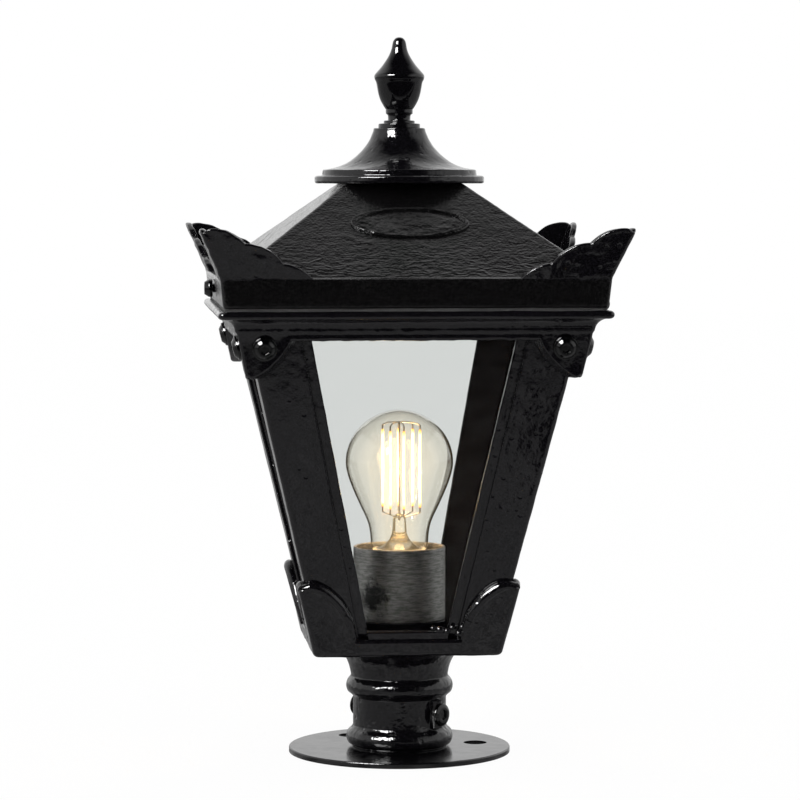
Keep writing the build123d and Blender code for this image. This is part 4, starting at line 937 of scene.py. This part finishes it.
def makeOval(o, b):
    # Profile (share of the half axes, rise) carried round an ellipse: x = a cos t, w = b sin t on the slope.
    z = b["skirtTop"] + o["level"] * (b["roofTop"] - b["skirtTop"])
    tilt = atan2(b["roofSlope"], 1)
    origin = np.array([0, -roofHalf(z), z])
    up, out = np.array([0, cos(tilt), sin(tilt)]), np.array([0, -sin(tilt), cos(tilt)])
    edge = 1 - o["border"] / 13.2
    share = roundedPath([(0.02, o["sunk"], 0), (edge - 0.02, o["sunk"], 0), (edge + 0.04, o["rise"], 0),
                         (0.955, o["rise"], 0), (1.0, o["rise"] * 0.55, 0), (1.0, -1.0, 0)], 0.045)
    share = smoothPath(share, 2)
    turns = np.arange(o["steps"]) * 2 * pi / o["steps"]
    # the border keeps its width all the way round, so both half axes shrink by the same length
    inward = (1 - share[:, :1]) * o["wide"] / 2
    short = o["wide"] / 2 - inward
    a = o["long"] / 2 - inward * (1 + (o["long"] / o["wide"] - 1) * softStep(inward, 3.5, o["wide"] / 2))
    x, w = a * np.cos(turns), short * np.sin(turns)
    points = origin + x[..., None] * [1, 0, 0] + w[..., None] * up + (share[:, 1:] + 0 * turns)[..., None] * out
    return skin(points)


addPiece("ovalPlate", [makeOval(oval, body)], "roof", roofPaint, ["oval_plate"],
         castRelief(0.1, 0.22, 0.16, 61))
print("oval plate made")

# vent cap and finial

capProfile = {"bell": ((14.3, 348.2), (15.0, 345.6), (16.7, 341.8), (19.3, 338.0), (23.2, 333.8), (28.4, 329.7),
                       (33.8, 327.2), (38.6, 326.0), (41.2, 325.6)), "steps": 220}
finialProfile = {"points": ((0.0, 398.7), (1.2, 398.55), (2.4, 397.9), (3.4, 396.5), (3.9, 394.6), (4.3, 392.4),
                            (5.2, 389.8), (6.8, 386.8), (9.3, 383.2), (12.1, 379.9), (13.5, 378.2), (13.9, 376.9),
                            (13.6, 375.4), (12.9, 373.9), (12.4, 371.1), (11.7, 367.6), (10.6, 364.1),
                            (9.0, 361.0), (7.8, 359.2)), "steps": 120}


def makeCap(c):
    # Bell curve through points, two stepped rims and a hollow underside, turned round the upright axis.
    edge = roundedPath([(12.6, 348.5, 0), (14.3, 348.5, 0.9), (14.5, 346.9, 0)], 0.5)
    bell = smoothPath(c["bell"][1:], 7)
    steps = roundedPath([(41.2, 325.6, 0), (42.7, 325.4, 0.9), (43.0, 322.3, 0.5), (45.8, 322.1, 0.8),
                         (47.2, 321.6, 1.1), (47.2, 317.8, 1.3), (44.5, 317.8, 0)], 0.5)
    under = roundedPath([(30.0, 317.8, 0), (26.0, 317.8, 1.0), (25.0, 321.0, 1.0), (17.0, 326.0, 2.0),
                         (11.6, 336.0, 2.0), (11.6, 342.5, 0.8), (3.2, 342.5, 0.3), (3.2, 348.5, 0.3)], 1.5)
    return skin(turnedRings(joined([edge, bell, steps, under], 1.4, True), c["steps"]), True)


def makeFinial(f):
    # Vase curve through points, a stepped foot and a blind bore, turned round the upright axis.
    vase = smoothPath(f["points"], 5)[1:]
    foot = roundedPath([(7.8, 359.2, 0), (7.5, 358.9, 0.3), (7.5, 356.6, 0.5), (6.3, 355.6, 0.8),
                        (6.2, 352.9, 0.5), (8.6, 352.6, 0.4), (8.7, 351.3, 0.3), (11.6, 350.9, 0.5),
                        (11.7, 348.4, 0.2), (3.4, 348.4, 0)], 0.45)
    bore = roundedPath([(3.2, 348.4, 0), (3.2, 364.3, 0), (0.05, 364.4, 0)], 2.0)
    return skin(turnedRings(np.vstack([vase, foot[1:], bore]), f["steps"]))


addPiece("ventCap", [makeCap(capProfile)], "roof", castPaint, ["vent_cap"],
         castRelief(0.12, 0.10, 0.045, 71))
addPiece("finialTurning", [makeFinial(finialProfile)], "roof", smoothPaint, ["finial"],
         castRelief(0.10, 0.07, 0.02, 73))
print("cap and finial made")

# collar: beaded neck with two screw bosses raised from it

collar = {"bossTurns": (-45.0, 135.0), "bossHeight": 23.0, "bossRadius": 7.5, "bossReach": 30.6, "blend": 1.6,
          "steps": 260}


def makeCollar(c):
    # Turned profile whose radius is raised to a flat boss near each screw: r = r + (flat - r) times a round step.
    outer = joined([roundedPath([(21.4, 3.0, 0), (26.4, 3.0, 0.3), (26.6, 3.9, 0)], 0.5),
                    smoothPath([(27.0, 4.0), (28.8, 5.3), (29.8, 8.6), (28.9, 11.7), (26.9, 13.6), (26.1, 14.9)],
                               5)], 0.8)
    middle = np.array([(26.0, 15.6), (26.0, 30.6)])
    upper = joined([smoothPath([(26.1, 31.4), (27.2, 32.6), (29.0, 34.2), (29.8, 37.0), (29.2, 39.8),
                                (27.8, 41.8), (27.1, 43.0), (27.3, 45.4), (28.3, 49.2), (30.0, 53.0),
                                (32.8, 56.4), (36.0, 58.4), (38.6, 59.3)], 5),
                    roundedPath([(39.3, 59.6, 0), (39.4, 60.0, 0)], 0.5)], 0.8)
    profile = joined([outer, middle, upper], 0.7)
    turns = np.arange(c["steps"]) * 2 * pi / c["steps"]
    r = profile[:, :1] + 0 * turns
    z = profile[:, 1:] + 0 * turns
    for bossTurn in c["bossTurns"]:
        swing = (turns - radians(bossTurn) + pi) % (2 * pi) - pi
        near = np.abs(swing) < 1.2
        off = np.sqrt((c["bossReach"] * np.sin(swing)) ** 2 + (z - c["bossHeight"]) ** 2)
        flat = c["bossReach"] / np.cos(np.where(near, swing, 0))
        flat = flat - 0.25 * softStep(off, c["bossRadius"] - 1.3, c["bossRadius"])
        rise = (1 - softStep(off, c["bossRadius"] - 0.35, c["bossRadius"] + c["blend"])) * near
        r = np.maximum(r, r + (flat - r) * rise)
    shell = np.stack([r * np.cos(turns), r * np.sin(turns), z], -1)
    inside = turnedRings(roundedPath([(8.0, 60.0, 0), (8.0, 52.0, 0.5), (17.0, 52.0, 1.0), (17.0, 31.5, 0.5),
                                      (21.3, 31.5, 0.3), (21.3, 3.0, 0)], 3.0), c["steps"])
    return skin(np.concatenate([shell, inside]), True)


addPiece("collarCasting", [makeCollar(collar)], "lantern", collarPaint, ["collar"],
         castRelief(0.34, 0.18, 0.04, 83))
print("collar made")

# screws: button heads with hexagon sockets

screws = {"lugHead": 5.6, "lugRise": 2.6, "socket": 2.2, "socketDepth": 2.2, "lugDown": 4.2, "lugIn": 13.7,
          "setHead": 6.4, "setRise": 1.6, "setSocket": 2.7, "setSocketDepth": 1.2, "setReach": 30.5, "setLevel": 23.0,
          "lockHead": 5.0, "lockRise": 4.5, "lockSocket": 2.0, "lockLevel": 260.0, "lockShank": 2.45}


def buttonHead(radius, rise, socket, depth, sunk=0.6, steps=48):
    # Low dome round +Z with a hexagon socket: socket radius s / cos(angle from the nearest flat's middle).
    turns = np.arange(steps) * 2 * pi / steps
    hexagon = socket / np.cos((turns + pi / 6) % (pi / 3) - pi / 6)
    rings = [(0 * turns + 0.3, rise - depth), (hexagon * 0.97, rise - depth), (hexagon, rise - depth + 0.1),
             (hexagon, rise - 0.15), (hexagon + 0.2, rise)]
    dome = roundedPath([(socket + 0.55, rise, 0), (radius * 0.68, rise, 0.5), (radius, rise * 0.42, 1.1),
                        (radius, -sunk, 0), (radius * 0.3, -sunk, 0)], 0.4)
    rings += [(0 * turns + r, z) for r, z in dome]
    return np.stack([np.stack([r * np.cos(turns), r * np.sin(turns), z + 0 * turns], -1) for r, z in rings])


def lugHeads(s, b):
    # A button head on a thin washer, set square to each leaning lug and repeated by quarter turns.
    z = b["fasciaFoot"] - s["lugDown"]
    x = postHalf(z) + b["lug"] - s["lugIn"]
    out = np.array([0, -1.0, -b["lean"]])
    origin = np.array([0, -postHalf(z) - b["lug"], z])
    made = []
    for side in (-1, 1):
        head = buttonHead(s["lugHead"], s["lugRise"], s["socket"], s["socketDepth"])
        washer = turnedRings(roundedPath([(2.0, 0.9, 0), (6.6, 0.9, 0.7), (6.9, -0.6, 0), (2.0, -0.6, 0)], 0.5), 48)
        for rings in (head, washer):
            made += [skin(turned) for turned in quarters(placed(rings, origin + [side * x, 0, 0], out))]
    return made


def setHeads(s):
    # A button head and its shank, each looking outward at a collar boss.
    made = []
    for turn in (-45, 135):
        out = np.array([cos(radians(turn)), sin(radians(turn)), 0])
        head = buttonHead(s["setHead"], s["setRise"], s["setSocket"], s["setSocketDepth"], 0.4)
        shank = turnedRings(np.array([(3.4, -9.0), (3.4, 0.0)]), 32)
        made += [skin(placed(rings, out * s["setReach"] + [0, 0, s["setLevel"]], out)) for rings in (head, shank)]
    return made


addPiece("lugScrews", lugHeads(screws, body), "lantern", screwPaint, ["lug_screws"])
addPiece("setScrews", setHeads(screws), "lantern", screwPaint, ["set_screws"])
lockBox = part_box("lock_screw")
lockFace = lockBox[0].x / mm
lockLength = lockBox[1].x / mm - lockFace - screws["lockRise"]
lockPlace = (lockFace + screws["lockRise"], 0, screws["lockLevel"])
lockRings = placed(buttonHead(screws["lockHead"], screws["lockRise"], screws["lockSocket"], 2.0, 0.0),
                   lockPlace, (-1, 0, 0))
lockShank = placed(turnedRings(np.array([(screws["lockShank"], -lockLength), (screws["lockShank"], 0.5)]), 32),
                   lockPlace, (-1, 0, 0))
addPiece("lockScrew", [skin(lockRings), skin(lockShank)], "lock_screw", screwPaint,
         ["lock_screw"])
print("screws made")

# lamp cup, and the bulb with its lit filaments

cup = {"radius": 25.7, "wall": 1.6, "foot": 75.0, "top": 115.5, "hole": 5.5}
bulb = {"profile": ((13.4, 113.2), (15.0, 114.2), (15.9, 116.6), (16.2, 120.0), (16.6, 124.0), (17.5, 128.2),
                    (19.2, 132.6), (21.3, 137.0), (23.5, 141.8), (25.7, 146.8), (28.0, 152.8), (29.5, 158.2),
                    (30.0, 162.6), (29.4, 168.4), (27.3, 174.6), (23.6, 180.6), (18.2, 185.7), (11.4, 189.6),
                    (5.5, 191.4), (0.6, 191.95)),
        "wall": 0.75, "steps": 144}
filaments = {"ring": 11.5, "turns": (-5.4, 43.9, 87.1, 139.6, 238.8, 277.2), "low": 137.3, "high": 180.6, "radius": 0.8,
             "lean": 0.6}


def makeCup(c):
    # Rounded U section turned round the upright axis, with a hole in its floor.
    inner = c["radius"] - c["wall"]
    section = roundedPath([(c["hole"], c["foot"], 0), (c["radius"], c["foot"], 0.8), (c["radius"], c["top"], 0.6),
                           (inner, c["top"], 0.6), (inner, c["foot"] + c["wall"], 0.8),
                           (c["hole"], c["foot"] + c["wall"], 0)], 1.2, True)
    return skin(turnedRings(section, 200), True)


def makeBulb(b):
    # Blown glass: one smooth profile, and the same profile moved in by the wall for its inside.
    outer = smoothPath(b["profile"], 7)
    along = np.gradient(outer, axis=0)
    normal = np.stack([-along[:, 1], along[:, 0]], -1) / np.linalg.norm(along, axis=1)[:, None]
    inner = outer + normal * b["wall"]
    inner[:, 0] = np.maximum(inner[:, 0], 0.02)
    outer[-1, 0] = 0.02
    inner[-1] = (0.02, outer[-1, 1] - b["wall"])
    return turnedRings(outer, b["steps"]), turnedRings(inner[::-1], b["steps"])


def shellSkin(outside, inside):
    # Hollow closed shell: outer and inner rings joined at the foot, each with its own pole.
    return skin(np.concatenate([outside[::-1], inside[::-1]]))


addPiece("lampCup", [makeCup(cup)], "lantern", rawMetal, ["lamp_cup"])
outside, inside = makeBulb(bulb)
bulbPiece = addPiece("bulbShell", [shellSkin(outside, inside)], "bulb", bulbClear, ["bulb_glass"])


def filamentSkins(f):
    # Thin tubes on a ring, each swaying a little to one side, their radius falling at both ends.
    turns = np.radians(f["turns"])
    made = []
    for index, turn in enumerate(turns):
        x, y = f["ring"] * cos(turn), f["ring"] * sin(turn)
        sway = f["lean"] * sin(index * 2.1)
        path = np.array([(x, y, f["low"]), (x + sway * 0.3, y, f["low"] + 14),
                         (x + sway * 0.2, y, f["high"] - 14), (x, y, f["high"])])
        path = smoothPath(path, 8)
        radius = f["radius"] * np.clip(np.minimum(path[:, 2] - f["low"], f["high"] - path[:, 2]) / 0.8, 0.45, 1) ** 0.5
        made.append(skin(tubeRings(path, radius, 12)))
    return made


def supportSkins(f):
    # Metal stubs at both ends of each filament, thin wires between them, and the mast.
    made = []
    places = [(f["ring"] * cos(radians(t)), f["ring"] * sin(radians(t))) for t in f["turns"]]
    for x, y in places:
        made.append(skin(tubeRings([(x, y, f["low"] - 3.2), (x, y, f["low"] + 0.3)], 0.45, 8)))
        made.append(skin(tubeRings([(x, y, f["high"] - 0.3), (x, y, f["high"] + 2.6)], 0.45, 8)))
    for low, high in ((f["low"] - 3.2, 131.5), (f["high"] + 2.6, f["high"] + 4.4)):
        for x, y in places:
            path = smoothPath([(x, y, low), (x * 0.7, y * 0.7, (low + high) / 2 + 0.4), (x * 0.12, y * 0.12, high)], 6)
            made.append(skin(tubeRings(path, 0.28, 8)))
    made.append(skin(tubeRings([(0, 0, 130.0), (0, 0, f["high"] + 4.8)], 0.5, 10)))
    return made


def stemSkin():
    # Flared glass stem: a smooth profile on a flat foot, turned round the upright axis.
    profile = smoothPath([(13.4, 113.6), (11.0, 114.6), (8.2, 116.6), (5.6, 119.5), (4.2, 123.0),
                          (3.9, 127.0), (3.6, 131.0), (2.4, 133.2), (0.3, 134.0)], 6)
    base = np.array([(0.3, 113.4), (13.2, 113.2)])
    return skin(turnedRings(np.vstack([base, profile]), 72))


addPiece("litFilaments", filamentSkins(filaments), "bulb", litCoating, ["bulb_filaments"])
addPiece("filamentSupport", supportSkins(filaments), "bulb", zincSteel, ["filament_frame"])
stemPiece = addPiece("bulbStemGlass", [stemSkin()], "bulb", bulbClear, ["bulb_stem"])
for clear in (bulbPiece, stemPiece):    # clear glass lets the lamps' light through
    clear.visible_shadow = False
for name in ("front", "right", "back", "left"):
    frame["nodes"]["pane_" + name].visible_shadow = False
bulbGlow.visible_transmission = False
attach(bulbGlow, "bulb")
print("cup and bulb made")
